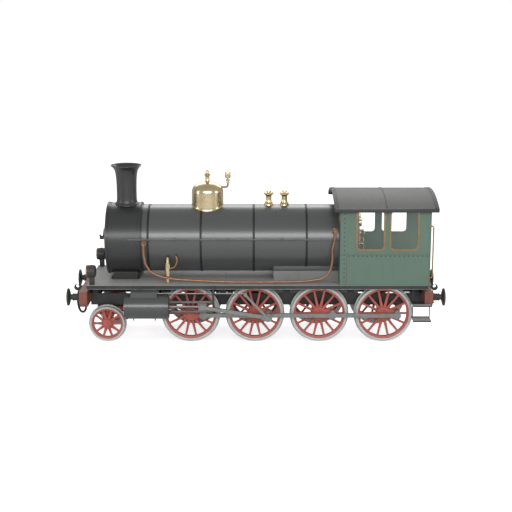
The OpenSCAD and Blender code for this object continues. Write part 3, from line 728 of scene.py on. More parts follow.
class Repeater(NodesTool):
    """Sets one head at each point of a ring or a row."""

    def __init__(self, pattern: Pattern, dome: bool) -> None:
        """Builds the tree.

        Args:
            pattern: Ring or row.
            dome: True for round rivet heads, False for nuts.
        """
        super().__init__(f"{'rivets' if dome else 'nuts'}_in_a_{pattern.value}", {
            "Count": "Int", "Ring Radius": "Float", "Length": "Float", "Head Sides": "Int",
            "Head Radius": "Float", "Head Height": "Float", "Material": "Material"})
        seat = self.new("GeometryNodeInstanceOnPoints")
        points = self.ring() if pattern is Pattern.RING else self.row()
        head = self.rivet() if dome else self.nut()
        wire(
            self.tree,
            (self.given["Head Sides"], head.inputs["Vertices"]),
            (self.given["Head Height"], head.inputs["Depth"]),
            (points.outputs["Mesh"], seat.inputs["Points"]),
            (head.outputs["Mesh"], seat.inputs["Instance"]),
        )
        self.end(seat)

    def ring(self) -> bpy.types.Node:
        """Points around a circle."""
        points = self.new("GeometryNodeMeshCircle")
        wire(self.tree, (self.given["Count"], points.inputs["Vertices"]),
             (self.given["Ring Radius"], points.inputs["Radius"]))
        return points

    def row(self) -> bpy.types.Node:
        """Points along X.

        Returns:
            The node that makes them.
        """
        points = self.new("GeometryNodeMeshLine")
        points.mode = "END_POINTS"
        end = self.new("ShaderNodeCombineXYZ")
        wire(self.tree, (self.given["Length"], end.inputs["X"]),
             (self.given["Count"], points.inputs["Count"]), (end.outputs[0], points.inputs["Offset"]))
        return points

    def rivet(self) -> bpy.types.Node:
        """A head that narrows to 0.55 of its foot.

        Returns:
            The node that makes it.
        """
        head = self.new("GeometryNodeMeshCone")
        top = self.new("ShaderNodeMath")
        top.operation = "MULTIPLY"
        top.inputs[1].default_value = 0.55
        wire(self.tree, (self.given["Head Radius"], head.inputs["Radius Bottom"]),
             (self.given["Head Radius"], top.inputs[0]), (top.outputs[0], head.inputs["Radius Top"]))
        return head

    def nut(self) -> bpy.types.Node:
        """A straight head."""
        head = self.new("GeometryNodeMeshCylinder")
        wire(self.tree, (self.given["Head Radius"], head.inputs["Radius"]))
        return head

    def mesh(self, count: int, span: float, head: Repeat, material: bpy.types.Material) -> bpy.types.Mesh:
        """Makes the heads.

        Args:
            count: Number of heads.
            span: Radius of the ring, or length of the row along X.
            head: What each head looks like.
            material: Their material.

        Returns:
            A plain mesh around the origin.
        """
        return self.evaluate(bpy.data.meshes.new("carrier"), {
            "Count": count, "Ring Radius": span, "Length": span, "Head Sides": head.sides,
            "Head Radius": head.radius, "Head Height": head.height, "Material": material})


class Spoker(NodesTool):
    """Repeats one spoke around local Z."""

    def __init__(self) -> None:
        """Builds the tree."""
        super().__init__("spokes_around_an_axle", {
            "Geometry": "Geometry", "Count": "Int", "Material": "Material"})
        circle = self.new("GeometryNodeMeshCircle")
        circle.inputs["Radius"].default_value = 0.0
        index = self.new("GeometryNodeInputIndex")
        step = self.new("ShaderNodeMath")
        step.operation = "DIVIDE"
        step.inputs[0].default_value = 2 * math.pi
        angle = self.new("ShaderNodeMath")
        angle.operation = "MULTIPLY"
        turn = self.new("ShaderNodeCombineXYZ")
        seat = self.new("GeometryNodeInstanceOnPoints")
        wire(
            self.tree,
            (self.given["Count"], circle.inputs["Vertices"]),
            (self.given["Count"], step.inputs[1]),
            (index.outputs[0], angle.inputs[0]),
            (step.outputs[0], angle.inputs[1]),
            (angle.outputs[0], turn.inputs["Z"]),
            (circle.outputs["Mesh"], seat.inputs["Points"]),
            (self.given["Geometry"], seat.inputs["Instance"]),
            (turn.outputs[0], seat.inputs["Rotation"]),
        )
        self.end(seat)


REPEATERS = {(pattern, dome): Repeater(pattern, dome) for pattern in Pattern for dome in (False, True)}
SPOKER = Spoker()


class Shape:
    """Gathers the parts of one piece, with a finish for each part."""

    def __init__(self, *finishes: Finish) -> None:
        """Starts an empty piece.

        Args:
            finishes: The finishes that its parts use; the first is the piece's own.
        """
        self.bm = bmesh.new()
        self.finishes = list(finishes)
        self.index = 0

    def use(self, finish: Finish) -> Shape:
        """Picks the finish of the parts that follow.

        Args:
            finish: The finish.

        Returns:
            The shape itself.
        """
        if finish not in self.finishes:
            self.finishes.append(finish)
        self.index = self.finishes.index(finish)
        return self

    def _face(self, corners: Sequence[bmesh.types.BMVert]) -> None:
        """Adds one face in the finish in use."""
        self.bm.faces.new(corners).material_index = self.index

    def lathe(self, profile: Profile, place: Matrix, steps: int = 48, closed: bool = False,
              fit: Callable[[Vector], Vector] | None = None) -> Shape:
        """Turns a profile around local Z.

        Args:
            profile: Points as radius and height; a radius of 0 makes a pole.
            place: Where local Z and the origin go.
            steps: Sides of the turned shape.
            closed: True joins the last point to the first, for a ring.
            fit: Moves each placed point, to seat a foot on a curved surface.

        Returns:
            The shape itself.
        """
        fit = fit or (lambda point: point)
        rings = []
        for r, h in profile:
            if r < 1e-6:
                rings.append([self.bm.verts.new(fit(place @ Vector((0, 0, h))))])
                continue
            turn = [2 * math.pi * k / steps for k in range(steps)]
            points = [place @ Vector((r * math.cos(a), r * math.sin(a), h)) for a in turn]
            rings.append([self.bm.verts.new(fit(point)) for point in points])
        pairs = list(zip(rings, rings[1:]))
        if closed:
            pairs.append((rings[-1], rings[0]))
        for low, high in pairs:
            for k in range(steps):
                n = (k + 1) % steps
                if len(low) == 1 and len(high) == 1:
                    continue
                if len(low) == 1:
                    self._face((low[0], high[n], high[k]))
                elif len(high) == 1:
                    self._face((low[k], low[n], high[0]))
                else:
                    self._face((low[k], low[n], high[n], high[k]))
        return self

    def disc(self, r: float, h: float, place: Matrix, edge: float = 0.004, steps: int = 40) -> Shape:
        """A solid disc with a rounded edge.

        Args:
            r: Radius.
            h: Height above its place.
            place: Where its foot goes.
            edge: Radius of the rounded edge.
            steps: Sides of the disc; 6 makes a nut.

        Returns:
            The shape itself.
        """
        top = arc(r - edge, h - edge, edge, 0, 90, 3)
        return self.lathe([(0, 0), (r, 0), *top, (0, h)], place, steps)

    def ring(self, inner: float, outer: float, h: float, place: Matrix, edge: float = 0.003,
             steps: int = 64) -> Shape:
        """A ring with bevelled outer edges.

        Args:
            inner: Inner radius.
            outer: Outer radius.
            h: Height above its place.
            place: Where its foot goes.
            edge: Width of the bevel.
            steps: Sides of the ring.

        Returns:
            The shape itself.
        """
        profile = [(inner, 0), (outer - edge, 0), (outer, edge), (outer, h - edge), (outer - edge, h),
                   (inner, h)]
        return self.lathe(profile, place, steps, closed=True)

    def tube(self, path: Sequence[Vector], r: float, sides: int = 14) -> Shape:
        """A round tube with flat ends.

        Args:
            path: Points of its middle line.
            r: Radius.
            sides: Sides of its section.

        Returns:
            The shape itself.
        """
        count = len(path)
        tangents = [(path[min(i + 1, count - 1)] - path[max(i - 1, 0)]).normalized() for i in range(count)]
        side = tangents[0].orthogonal().normalized()
        rings = []
        for point, tangent in zip(path, tangents):
            side = (side - tangent * side.dot(tangent)).normalized()
            other = tangent.cross(side)
            rings.append([
                self.bm.verts.new(point + r * (math.cos(a) * side + math.sin(a) * other))
                for a in (2 * math.pi * k / sides for k in range(sides))])
        for low, high in zip(rings, rings[1:]):
            for k in range(sides):
                n = (k + 1) % sides
                self._face((low[k], low[n], high[n], high[k]))
        self._face(tuple(reversed(rings[0])))
        self._face(tuple(rings[-1]))
        return self

    def bar(self, start: Sequence[float], end: Sequence[float], r: float, sides: int = 16) -> Shape:
        """A straight round bar."""
        return self.tube([Vector(start), Vector(end)], r, sides)

    def box(self, low: Sequence[float], high: Sequence[float], bevel: float = 0.003,
            turn: Matrix | None = None) -> Shape:
        """A box between two corners, with its edges bevelled.

        Args:
            low: Lowest corner.
            high: Highest corner.
            bevel: Width of the bevel.
            turn: Moves the finished box.

        Returns:
            The shape itself.
        """
        part = bmesh.new()
        bmesh.ops.create_cube(part, size=1)
        low_v, high_v = Vector(low), Vector(high)
        size = high_v - low_v
        for vert in part.verts:
            vert.co = (low_v + high_v) / 2 + Vector(c * s for c, s in zip(vert.co, size))
        return self._take(part, bevel, turn)

    def prism(self, outline: Profile, y0: float, y1: float, bevel: float = 0.003,
              turn: Matrix | None = None) -> Shape:
        """A flat outline in X and Z, made solid between two values of Y.

        Args:
            outline: Corners as X and Z, in order.
            y0: First face.
            y1: Second face.
            bevel: Width of the bevel on both faces' edges.
            turn: Moves the finished prism.

        Returns:
            The shape itself.
        """
        part = bmesh.new()
        face = part.faces.new([part.verts.new((x, y0, z)) for x, z in outline])
        grown = bmesh.ops.extrude_face_region(part, geom=[face])
        for item in grown["geom"]:
            if isinstance(item, bmesh.types.BMVert):
                item.co.y = y1
        bmesh.ops.recalc_face_normals(part, faces=part.faces)
        flat = [e for e in part.edges if abs(e.verts[0].co.y - e.verts[1].co.y) < 1e-9]
        return self._take(part, bevel, turn, flat)

    def _take(self, part: bmesh.types.BMesh, bevel: float, turn: Matrix | None,
              edges: list[bmesh.types.BMEdge] | None = None) -> Shape:
        """Bevels a part, moves it and adds it.

        Args:
            part: The part, which is freed.
            bevel: Width of the bevel.
            turn: Moves the bevelled part.
            edges: The edges to bevel, or none for all of them.

        Returns:
            The shape itself.
        """
        if bevel > 0:
            bmesh.ops.bevel(part, geom=edges or part.edges, offset=bevel, segments=2, affect="EDGES",
                            profile=0.5, clamp_overlap=True)
        return self.add(as_mesh(part, "part"), turn or Matrix.Identity(4))

    def add(self, mesh: bpy.types.Mesh, place: Matrix) -> Shape:
        """Adds a mesh in the finish in use, and removes the mesh.

        Args:
            mesh: The mesh to add.
            place: Where its origin goes.

        Returns:
            The shape itself.
        """
        mesh.transform(place)
        before = len(self.bm.faces)
        self.bm.from_mesh(mesh)
        self.bm.faces.ensure_lookup_table()
        for face in self.bm.faces[before:]:
            face.material_index = self.index
        bpy.data.meshes.remove(mesh)
        return self

    def ring_of(self, head: Repeat, count: int, radius: float, place: Matrix) -> Shape:
        """Heads set around a circle, standing along local Z.

        Args:
            head: What each head looks like.
            count: Number of heads.
            radius: Radius of the circle.
            place: Where its centre goes.

        Returns:
            The shape itself.
        """
        material = PALETTE.get(self.finishes[self.index])
        mesh = REPEATERS[(Pattern.RING, head.dome)].mesh(count, radius, head, material)
        return self.add(mesh, place)

    def row_of(self, head: Repeat, count: int, start: Sequence[float], end: Sequence[float],
               out: Sequence[float]) -> Shape:
        """Heads set along a line.

        Args:
            head: What each head looks like.
            count: Number of heads.
            start: First head's foot.
            end: Last head's foot.
            out: Direction in which the heads stand.

        Returns:
            The shape itself.
        """
        along = Vector(end) - Vector(start)
        x = along.normalized()
        z = Vector(out).normalized()
        y = z.cross(x)
        turn = Matrix((x, y, z)).transposed().to_4x4()
        material = PALETTE.get(self.finishes[self.index])
        mesh = REPEATERS[(Pattern.ROW, head.dome)].mesh(count, along.length, head, material)
        return self.add(mesh, Matrix.Translation(start) @ turn)

    def finish(self, name: str, body: str, *nodes: str, angle: float = 32) -> bpy.types.Object:
        """Turns the shape into a piece of the engine.

        Args:
            name: Name of the piece.
            body: CAD body that it rides on.
            nodes: CAD nodes that it stands for.
            angle: Edges sharper than this, in degrees, stay sharp.

        Returns:
            The finished object.
        """
        bmesh.ops.recalc_face_normals(self.bm, faces=self.bm.faces)
        mesh = as_mesh(self.bm, name)
        for finish in self.finishes:
            mesh.materials.append(PALETTE.get(finish))
        mesh.shade_smooth()
        mesh.set_sharp_from_angle(angle=math.radians(angle))
        piece = in_scene(name, mesh)
        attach(piece, body)
        if nodes:
            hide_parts(*nodes)
        LOG.info("%s: %d faces on %s", name, len(mesh.polygons), body)
        return piece


def dress(node: str, finish: Finish) -> None:
    """Gives a CAD node one of the finishes.

    Args:
        node: Name of the node.
        finish: Its finish.
    """
    mesh = FRAME["nodes"][node].data
    mesh.materials.clear()
    mesh.materials.append(PALETTE.get(finish))
    LOG.info("%s: dressed in %s", node, finish.name)


# ---------------------------------------------------------------- running gear


@dataclass(frozen=True)
class Wheelset:
    """Two spoked wheels on one axle, with their tyres."""

    body: str
    x: float
    z: float
    nodes: tuple[str, ...]
    tyre_nodes: tuple[str, ...]
    tread: float
    tyre: float
    spokes: int
    hub: float
    axle: float
    crank: float = 0.0
    main: bool = False
    rim: float = 0.046
    flange: float = 0.028

    def build(self) -> None:
        """Builds the wheel centres and the tyres."""
        self.centres()
        self.tyres()

    def centres(self) -> None:
        """Axle, hubs, spokes, rims and cranks."""
        shape = Shape(PALETTE.red)
        ends = 0.682
        bar = [(0, -ends), (self.axle, -ends), (self.axle, ends), (0, ends)]
        shape.use(PALETTE.black).lathe(bar, at(self.x, 0, self.z, Axis.Y), 40)
        outer = self.tread - self.tyre
        inner = outer - self.rim
        for side in SIDES:
            shape.use(PALETTE.red)
            place = at(self.x, 0, self.z, Axis.Y, side)
            rim = [(inner, 0.702), (outer - 0.002, 0.694), (outer, 0.698), (outer, 0.792),
                   (outer - 0.006, 0.797), (inner + 0.010, 0.790), (inner, 0.782)]
            shape.lathe(rim, place, 112, closed=True)
            web = self.hub
            shape.lathe([(0, 0.682), (web, 0.682), (web, 0.800), *arc(web - 0.012, 0.806, 0.012, 0, 90, 3),
                         (self.axle + 0.02, 0.818), (self.axle + 0.012, 0.826), (0, 0.826)], place, 64)
            shape.add(self.spoke_mesh(inner), place)
            self.end_detail(shape, side)
        shape.finish(f"{self.body}_centres", self.body, *self.nodes)

    def spoke_mesh(self, inner: float) -> bpy.types.Mesh:
        """Spokes of one wheel around local Z, each one oval in section and swelling to hub and rim.

        Args:
            inner: Inner radius of the rim.

        Returns:
            The mesh of all spokes.
        """
        part = bmesh.new()
        rings = []
        sides = 12
        middle = 0.745
        stations = (  # distance from the axle, half of the width, half of the depth
            (self.hub - 0.01, 0.040, 0.033), (self.hub + 0.03, 0.033, 0.029),
            ((self.hub + inner) / 2, 0.026, 0.024), (inner - 0.035, 0.0225, 0.022),
            (inner - 0.012, 0.027, 0.024), (inner + 0.006, 0.036, 0.028))
        for r, half, depth in stations:
            ring = []
            for k in range(sides):
                a = 2 * math.pi * k / sides
                u = math.copysign(abs(math.cos(a)) ** 0.7, math.cos(a)) * half
                v = math.copysign(abs(math.sin(a)) ** 0.7, math.sin(a)) * depth
                ring.append(part.verts.new((r, u, middle + v)))
            rings.append(ring)
        for low, high in zip(rings, rings[1:]):
            for k in range(sides):
                n = (k + 1) % sides
                part.faces.new((low[k], low[n], high[n], high[k]))
        part.faces.new(list(reversed(rings[0])))
        part.faces.new(rings[-1])
        return SPOKER.evaluate(as_mesh(part, "spoke"), {
            "Count": self.spokes, "Material": PALETTE.get(PALETTE.red)})

    def end_detail(self, shape: Shape, side: int) -> None:
        """Axle end with its centre mark, and the crank with its pin if the axle has one.

        Args:
            shape: Shape that takes them.
            side: Left or right.
        """
        r = self.axle - 0.012
        mark = [(0, 0), (r, 0), (r, 0.006), (self.axle - 0.018, 0.010), (0.016, 0.010), (0.008, 0.005),
                (0, 0.005)]
        shape.use(PALETTE.red).lathe(mark, at(self.x, side * 0.826, self.z, Axis.Y, side), 36)
        if self.crank:
            self.crank_web(shape, side)
            self.crank_pin(shape, side)

    def pin_place(self, side: int) -> tuple[float, float]:
        """X and Z of the crank pin: the right side's leads by a quarter turn."""
        return (self.x + self.crank, self.z) if side is LEFT else (self.x, self.z + self.crank)

    def crank_web(self, shape: Shape, side: int) -> None:
        """The crank's boss and the web that joins it to the hub.

        Args:
            shape: Shape that takes them.
            side: Left or right.
        """
        px, pz = self.pin_place(side)
        boss = [(0, 0), (0.086, 0), (0.092, 0.010), (0.092, 0.140), *arc(0.084, 0.141, 0.008, 0, 90, 3),
                (0, 0.149)]
        shape.use(PALETTE.red).lathe(boss, at(px, side * 0.69, pz, Axis.Y, side), 44)
        low, high = (self.hub * 0.62, 0.088)
        web = [(0, low), (0.14, 0.105), (self.crank, high), (self.crank, -high), (0.14, -0.105), (0, -low)]
        turn = at(self.x, 0, self.z) @ Matrix.Rotation(0 if side is LEFT else -math.pi / 2, 4, "Y")
        shape.prism(web, *across(side, 0.70, 0.822), 0.006, turn)

    def crank_pin(self, shape: Shape, side: int) -> None:
        """The stepped pin and its cap; the main axle's is longer and carries the connecting rod.

        Args:
            shape: Shape that takes them.
            side: Left or right.
        """
        px, pz = self.pin_place(side)
        pin = at(px, 0, pz, Axis.Y, side)
        first, last, r = (1.183, 1.194, 0.044) if self.main else (0.962, 0.974, 0.058)
        inner = [(0, 0.835), (0.062, 0.835), (0.062, 0.895), (0.045, 0.897), (0.045, 0.962), (0, 0.962)]
        shape.use(PALETTE.rod).lathe(inner, pin, 40)
        if self.main:
            shape.lathe([(0, 0.96), (0.062, 0.966), (0.062, 1.084), (0.045, 1.086), (0.045, 1.144),
                         (0.030, 1.146), (0.030, first), (0, first)], pin, 40)
        shape.lathe([(0, first), (r - 0.003, first), (r, first + 0.003), (r, last - 0.003),
                     (r - 0.003, last), (0.014, last), (0.008, last - 0.004), (0, last - 0.004)], pin, 36)

    def tyres(self) -> None:
        """Turned tyres: coned tread, rounded flange root and a clipped outer edge."""
        shape = Shape(PALETTE.tyre)
        t, bore, top = self.tread, self.tread - self.tyre, self.tread + self.flange
        profile = [(bore, 0.681), (t - 0.006, 0.680), *arc(top - 0.0135, 0.6935, 0.0135, 250, 360, 6),
                   (top - 0.002, 0.700), *arc(t + 0.013, 0.7235, 0.013, 270, 180, 5),
                   (t, 0.750), (t - 0.0015, 0.800), (t - 0.008, 0.8095), (bore + 0.012, 0.8098),
                   (bore + 0.004, 0.806), (bore, 0.800)]
        for side in SIDES:
            shape.lathe(profile, at(self.x, 0, self.z, Axis.Y, side), 144, closed=True)
        shape.finish(f"{self.body}_tyres", self.body, *self.tyre_nodes, angle=40)


@dataclass(frozen=True)
class SideRods:
    """Rods and crosshead of one side, with the oil cups and knuckle pins of the coupling rod."""

    side: int
    cup_y: float = 0.930
    cup_rise: float = 0.083
    knuckle_y: float = 0.9595
    knuckle_reach: float = 0.17

    def build(self) -> None:
        """Dresses the rods and adds the small parts."""
        name = SIDE_NAMES[self.side]
        for part in ("coupling_rod", "connecting_rod", "eccentric_rod", "crosshead"):
            dress(f"{name}_{part}", PALETTE.rod)
        dx, dz = (CRANK, 0.0) if self.side is LEFT else (0.0, CRANK)
        foot = [(0, 0), (0.020, 0), (0.020, 0.020), (0, 0.020)]
        cup = [(0, 0.0195), (0.014, 0.0195), (0.014, 0.030), (0.010, 0.036), (0, 0.036)]
        shape = Shape(PALETTE.brass)
        for x in COUPLED_XS:
            place = at(x + dx, self.side * self.cup_y, COUPLED_Z + dz + self.cup_rise)
            shape.use(PALETTE.rod).lathe(foot, place, 20)
            shape.use(PALETTE.brass).lathe(cup, place, 20)
        for x in (COUPLED_XS[1] - self.knuckle_reach, COUPLED_XS[2] + self.knuckle_reach):
            place = at(x + dx, self.side * self.knuckle_y, COUPLED_Z + dz, Axis.Y, self.side)
            shape.use(PALETTE.rod).disc(0.022, 0.009, place, 0.002, 20)
        shape.finish(f"{name}_rod_oil_cups", f"{name}_coupling_rod")


@dataclass(frozen=True)
class Cylinder:
    """Studs and drain pipes of one outside cylinder; the slide bars of both sides."""

    side: int
    x0: float = -2.810
    x1: float = -1.866
    y: float = 1.05
    z: float = 0.87
    r: float = 0.258
    stud_r: float = 0.228
    chest_y: float = 1.17
    chest_z: float = 1.195
    drain_xs: tuple[float, float] = (-2.62, -2.16)

    def build(self) -> None:
        """Builds the fastenings and the drain pipes."""
        y = self.side * self.y
        drain_y = y + self.side * 0.05
        shape = Shape(PALETTE.black)
        for x, sign in ((self.x0 + 0.008, REAR), (self.x1 - 0.008, FRONT)):
            shape.ring_of(Repeat(6, 0.016, 0.020), 14, self.stud_r, at(x, y, self.z, Axis.X, sign))
        for x, sign in ((self.x0, FRONT), (self.x1, REAR)):
            shape.ring_of(Repeat(6, 0.015, 0.014), 14, self.stud_r, at(x, y, self.z, Axis.X, sign))
        shape.use(PALETTE.copper)
        for x in self.drain_xs:
            shape.bar((x, drain_y, self.z - self.r + 0.006), (x, drain_y, 0.575), 0.012)
        shape.use(PALETTE.black)
        start, end = ((x, self.side * self.chest_y, self.chest_z) for x in self.drain_xs)
        shape.row_of(Repeat(6, 0.013, 0.012), 6, start, end, (0, self.side, 0))
        shape.finish(f"{SIDE_NAMES[self.side]}_cylinder_fastenings", "root")

    @staticmethod
    def slide_bars() -> None:
        """Ground slide bars of both sides, on their blackened hangers."""
        shape = Shape(PALETTE.iron)
        for side in SIDES:
            y0, y1 = across(side, 1.020, 1.080)
            shape.use(PALETTE.iron)
            for z0, z1, face, up in ((0.9525, 0.9945, 0.9945, 1), (0.7455, 0.7875, 0.7455, -1)):
                shape.box((-1.866, y0, z0), (-0.934, y1, z1), 0.004)
                for x in (-1.80, -1.00):
                    shape.disc(0.016, 0.010, at(x, side * 1.050, face, Axis.Z, up), 0.002, 6)
            shape.use(PALETTE.black)
            y0, y1 = across(side, 0.972, 1.080)
            shape.box((-0.935, y0, 0.7455), (-0.895, y1, 1.309), 0.004)
            shape.ring_of(SMALL_NUT, 4, 0.030, at(-0.915, side * 1.080, 1.20, Axis.Y, side))
        shape.finish("slide_bars_ground", "root", "slide_bars")


# ---------------------------------------------------------------- frame ends


@dataclass(frozen=True)
class BufferBeam:
    """Rivets, buffers and draw hook of one end."""

    end: int
    beam_x: float = 3.780
    buffer_y: float = 0.875
    buffer_z: float = 1.040

    def build(self) -> None:
        """Builds everything on the beam."""
        name = END_NAMES[self.end]
        self.rivets(name)
        self.buffers(name)
        dress(f"{name}_draw_hook", PALETTE.black)
        dress(f"{name}_buffer_beam", PALETTE.beam)

    def rivets(self, name: str) -> None:
        """Rivet rows on the beam's face and its ends.

        Args:
            name: Name of the end.
        """
        x = self.end * self.beam_x
        shape = Shape(PALETTE.beam)
        out = (self.end, 0, 0)
        for z, half in ((1.168, 1.03), (0.885, 0.94)):
            shape.row_of(RIVET, 21 if half > 1 else 19, (x, -half, z), (x, half, z), out)
        for side in SIDES:
            shape.row_of(RIVET, 3, (x, side * 0.565, 0.93), (x, side * 0.565, 1.13), out)
            for z in (1.168, 0.93):
                edge = side * 1.080
                shape.row_of(RIVET, 2, (x * 0.99, edge, z), (x * 0.965, edge, z), (0, side, 0))
        shape.finish(f"{name}_beam_rivets", "root")

    def buffers(self, name: str) -> None:
        """Turned buffers with flange nuts.

        Args:
            name: Name of the end.
        """
        shape = Shape(PALETTE.black)
        profile = [
            (0, 0), (0.150, 0), (0.150, 0.022), (0.147, 0.025), (0.098, 0.0255), (0.090, 0.032),
            (0.080, 0.050), (0.076, 0.120), (0.076, 0.146), (0.084, 0.149), (0.084, 0.160), (0.080, 0.163),
            (0.062, 0.164),
            (0.062, 0.206), (0.070, 0.212), (0.120, 0.220), (0.172, 0.236), (0.187, 0.244), (0.190, 0.251),
            (0.190, 0.268), (0.186, 0.276), (0.160, 0.282), (0.100, 0.2875), (0.050, 0.2896), (0, 0.290)]
        for side in SIDES:
            place = at(self.end * self.beam_x, side * self.buffer_y, self.buffer_z, Axis.X, self.end)
            shape.use(PALETTE.black).lathe(profile, place, 72)
            nuts = raised(place, 0.033) @ Matrix.Rotation(math.pi / 4, 4, "Z")
            shape.ring_of(Repeat(6, 0.018, 0.018), 4, 0.134, nuts)
        shape.finish(f"{name}_buffers", "root", f"{name}_buffers", angle=28)


@dataclass(frozen=True)
class BrakeHose:
    """A rubber hose that hangs from its beam, with both couplings.

    Its route is X and Z of the rear hose in millimetres, from the upper coupling to the lower one.
    """

    end: int
    r: float = 0.025
    y: float = 0.330
    route: tuple[tuple[int, int], ...] = (
        (3780, 1085), (3828, 1085), (3866, 1068), (3893, 1035), (3908, 985), (3917, 925), (3921, 860),
        (3921, 790), (3915, 720), (3902, 655), (3880, 600), (3848, 565), (3806, 560), (3775, 585),
        (3756, 625), (3748, 680), (3745, 740), (3745, 800), (3745, 850))

    def build(self) -> None:
        """Builds the hose as a curve, with its brass couplings."""
        name = END_NAMES[self.end]
        points = [Vector((self.end * x / 1000, self.end * self.y, z / 1000)) for x, z in self.route]
        data = bpy.data.curves.new(f"{name}_brake_hose", "CURVE")
        data.dimensions = "3D"
        data.bevel_depth = self.r
        data.bevel_resolution = 5
        data.use_fill_caps = True
        line = data.splines.new("POLY")
        path = smooth_path(points, 3)
        line.points.add(len(path) - 1)
        for knot, place in zip(line.points, path):
            knot.co = (*place, 1)
        line.use_smooth = True
        data.materials.append(PALETTE.get(PALETTE.rubber))
        hose = in_scene(f"{name}_brake_hose", data)
        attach(hose, "root")
        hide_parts(f"{name}_brake_hose")
        length = sum((b - a).length for a, b in zip(path, path[1:]))
        shape = Shape(PALETTE.brass)
        first = Matrix.Translation(points[0]) @ facing(Axis.X, self.end)
        shape.disc(0.040, 0.016, first, 0.003, 6).disc(0.0335, 0.036, first, 0.003, 24)
        last = Matrix.Translation(points[-1]) @ Matrix.Rotation(math.pi, 4, "X")
        shape.disc(0.0335, 0.060, last, 0.003, 24)
        ends = shape.finish(f"{name}_hose_couplings", "root")
        tuple(points[0])
        LOG.info("%s brake hose: %.3f m long", name, length)


# ---------------------------------------------------------------- boiler and its fittings


def on_boiler(angle: float, x: float, r: float) -> Matrix:
    """Place on the boiler's clothing, with local Z pointing outwards.

    Args:
        angle: Degrees from the top, towards the left side.
        x: Place along the engine.
        r: Distance from the boiler's axis.

    Returns:
        The placing matrix.
    """
    turn = Matrix.Rotation(math.radians(angle), 4, "X")
    return Matrix.Translation((x, 0, BOILER_Z)) @ turn @ Matrix.Translation((0, 0, r))


def seated(point: Vector, r: float, top: float, depth: float) -> tuple[float, float]:
    """Where a fitting on top of a round barrel has to bend down to it.

    Args:
        point: A point of the fitting.
        r: Radius of the barrel.
        top: Height above which nothing bends.
        depth: How far below that the bend is whole.

    Returns:
        The barrel's height under the point, and how much of the bend it gets, from 0 to 1.
    """
    y = max(-r, min(r, point.y))
    return BOILER_Z + math.sqrt(r**2 - y**2), max(0.0, min(1.0, (top - point.z) / depth))


@dataclass(frozen=True)
class Boiler:
    """Barrel, its clothing bands with their clamps, and the clothing plates of the firebox."""

    first_band: float = -2.325
    band_step: float = 1.138
    clamp_angle: float = 128

    def build(self) -> None:
        """Dresses the barrel and adds the fittings that lie on it."""
        dress("boiler_barrel", PALETTE.boiler)
        dress("firebox", PALETTE.lagging)
        dress("boiler_bands", PALETTE.band)
        shape = Shape(PALETTE.smoke)
        for i in range(4):
            for side in SIDES:
                x = self.first_band + self.band_step * i
                shape.add(self.clamp(), on_boiler(-side * self.clamp_angle, x, BOILER_R))
        joint = at(-2.482, 0, BOILER_Z, Axis.X)
        shape.ring(BOILER_R - 0.004, BOILER_R + 0.004, 0.030, joint, 0.001, 160)
        shape.use(PALETTE.boiler)
        for side in SIDES:
            y0, y1 = across(side, 0.499, 0.503)
            shape.box((0.379, y0, 1.528), (1.789, y1, 1.640), 0.001)
        shape.finish("boiler_trim", "root")

    @staticmethod
    def clamp() -> bpy.types.Mesh:
        """Two lugs and a bolt that draw a band tight.

        Returns:
            Their mesh, around the origin.
        """
        part = Shape(PALETTE.smoke)
        part.box((-0.020, -0.026, -0.004), (0.020, -0.012, 0.026), 0.002)
        part.box((-0.020, 0.012, -0.004), (0.020, 0.026, 0.026), 0.002)
        part.bar((0, -0.040, 0.014), (0, 0.040, 0.014), 0.006, 10)
        return as_mesh(part.bm, "clamp")


@dataclass(frozen=True)
class Smokebox:
    """Rivets of the smokebox and of its door's hinge straps, and the saddle's bolts."""

    x0: float = -3.240
    x1: float = -2.490

    def build(self) -> None:
        """Builds the rivets, the bolts and the side plugs."""
        dress("smokebox", PALETTE.smoke)
        dress("smokebox_saddle", PALETTE.smoke)
        shape = Shape(PALETTE.smoke)
        for x in (self.x0 + 0.075, self.x1 - 0.075):
            shape.ring_of(RIVET, 84, SMOKEBOX_R, at(x, 0, BOILER_Z, Axis.X))
        shape.ring_of(RIVET, 60, 0.735, at(self.x0 + 0.001, 0, BOILER_Z, Axis.X, FRONT))
        for side in SIDES:
            shape.row_of(NUT, 5, (-3.08, side * 0.352, 1.322), (-2.64, side * 0.352, 1.322), (0, 0, 1))
            shape.row_of(RIVET, 7, (-3.07, side * 0.330, 1.395), (-2.65, side * 0.330, 1.395), (0, side, 0))
            place = at(-2.87, side * SMOKEBOX_R, BOILER_Z, Axis.Y, side)
            shape.disc(0.046, 0.010, place, 0.003, 28).disc(0.026, 0.026, place, 0.003, 6)
        shape.finish("smokebox_rivets", "root")
        self.door()

    def door(self) -> None:
        """Three rivets on each hinge strap of the door."""
        dress("smokebox_door", PALETTE.smoke)
        shape = Shape(PALETTE.smoke)
        for z in (1.935, 2.395):
            for k in range(3):
                y = 0.50 - 0.17 * k
                drop = 0.0235 + 0.0012 * (3 - k)
                place = at(-3.3405 - drop * 0.2, y, z, Axis.X, FRONT)
                shape.disc(0.011, 0.004, place, 0.002, 12)
        shape.finish("smokebox_door_rivets", "smokebox_door")


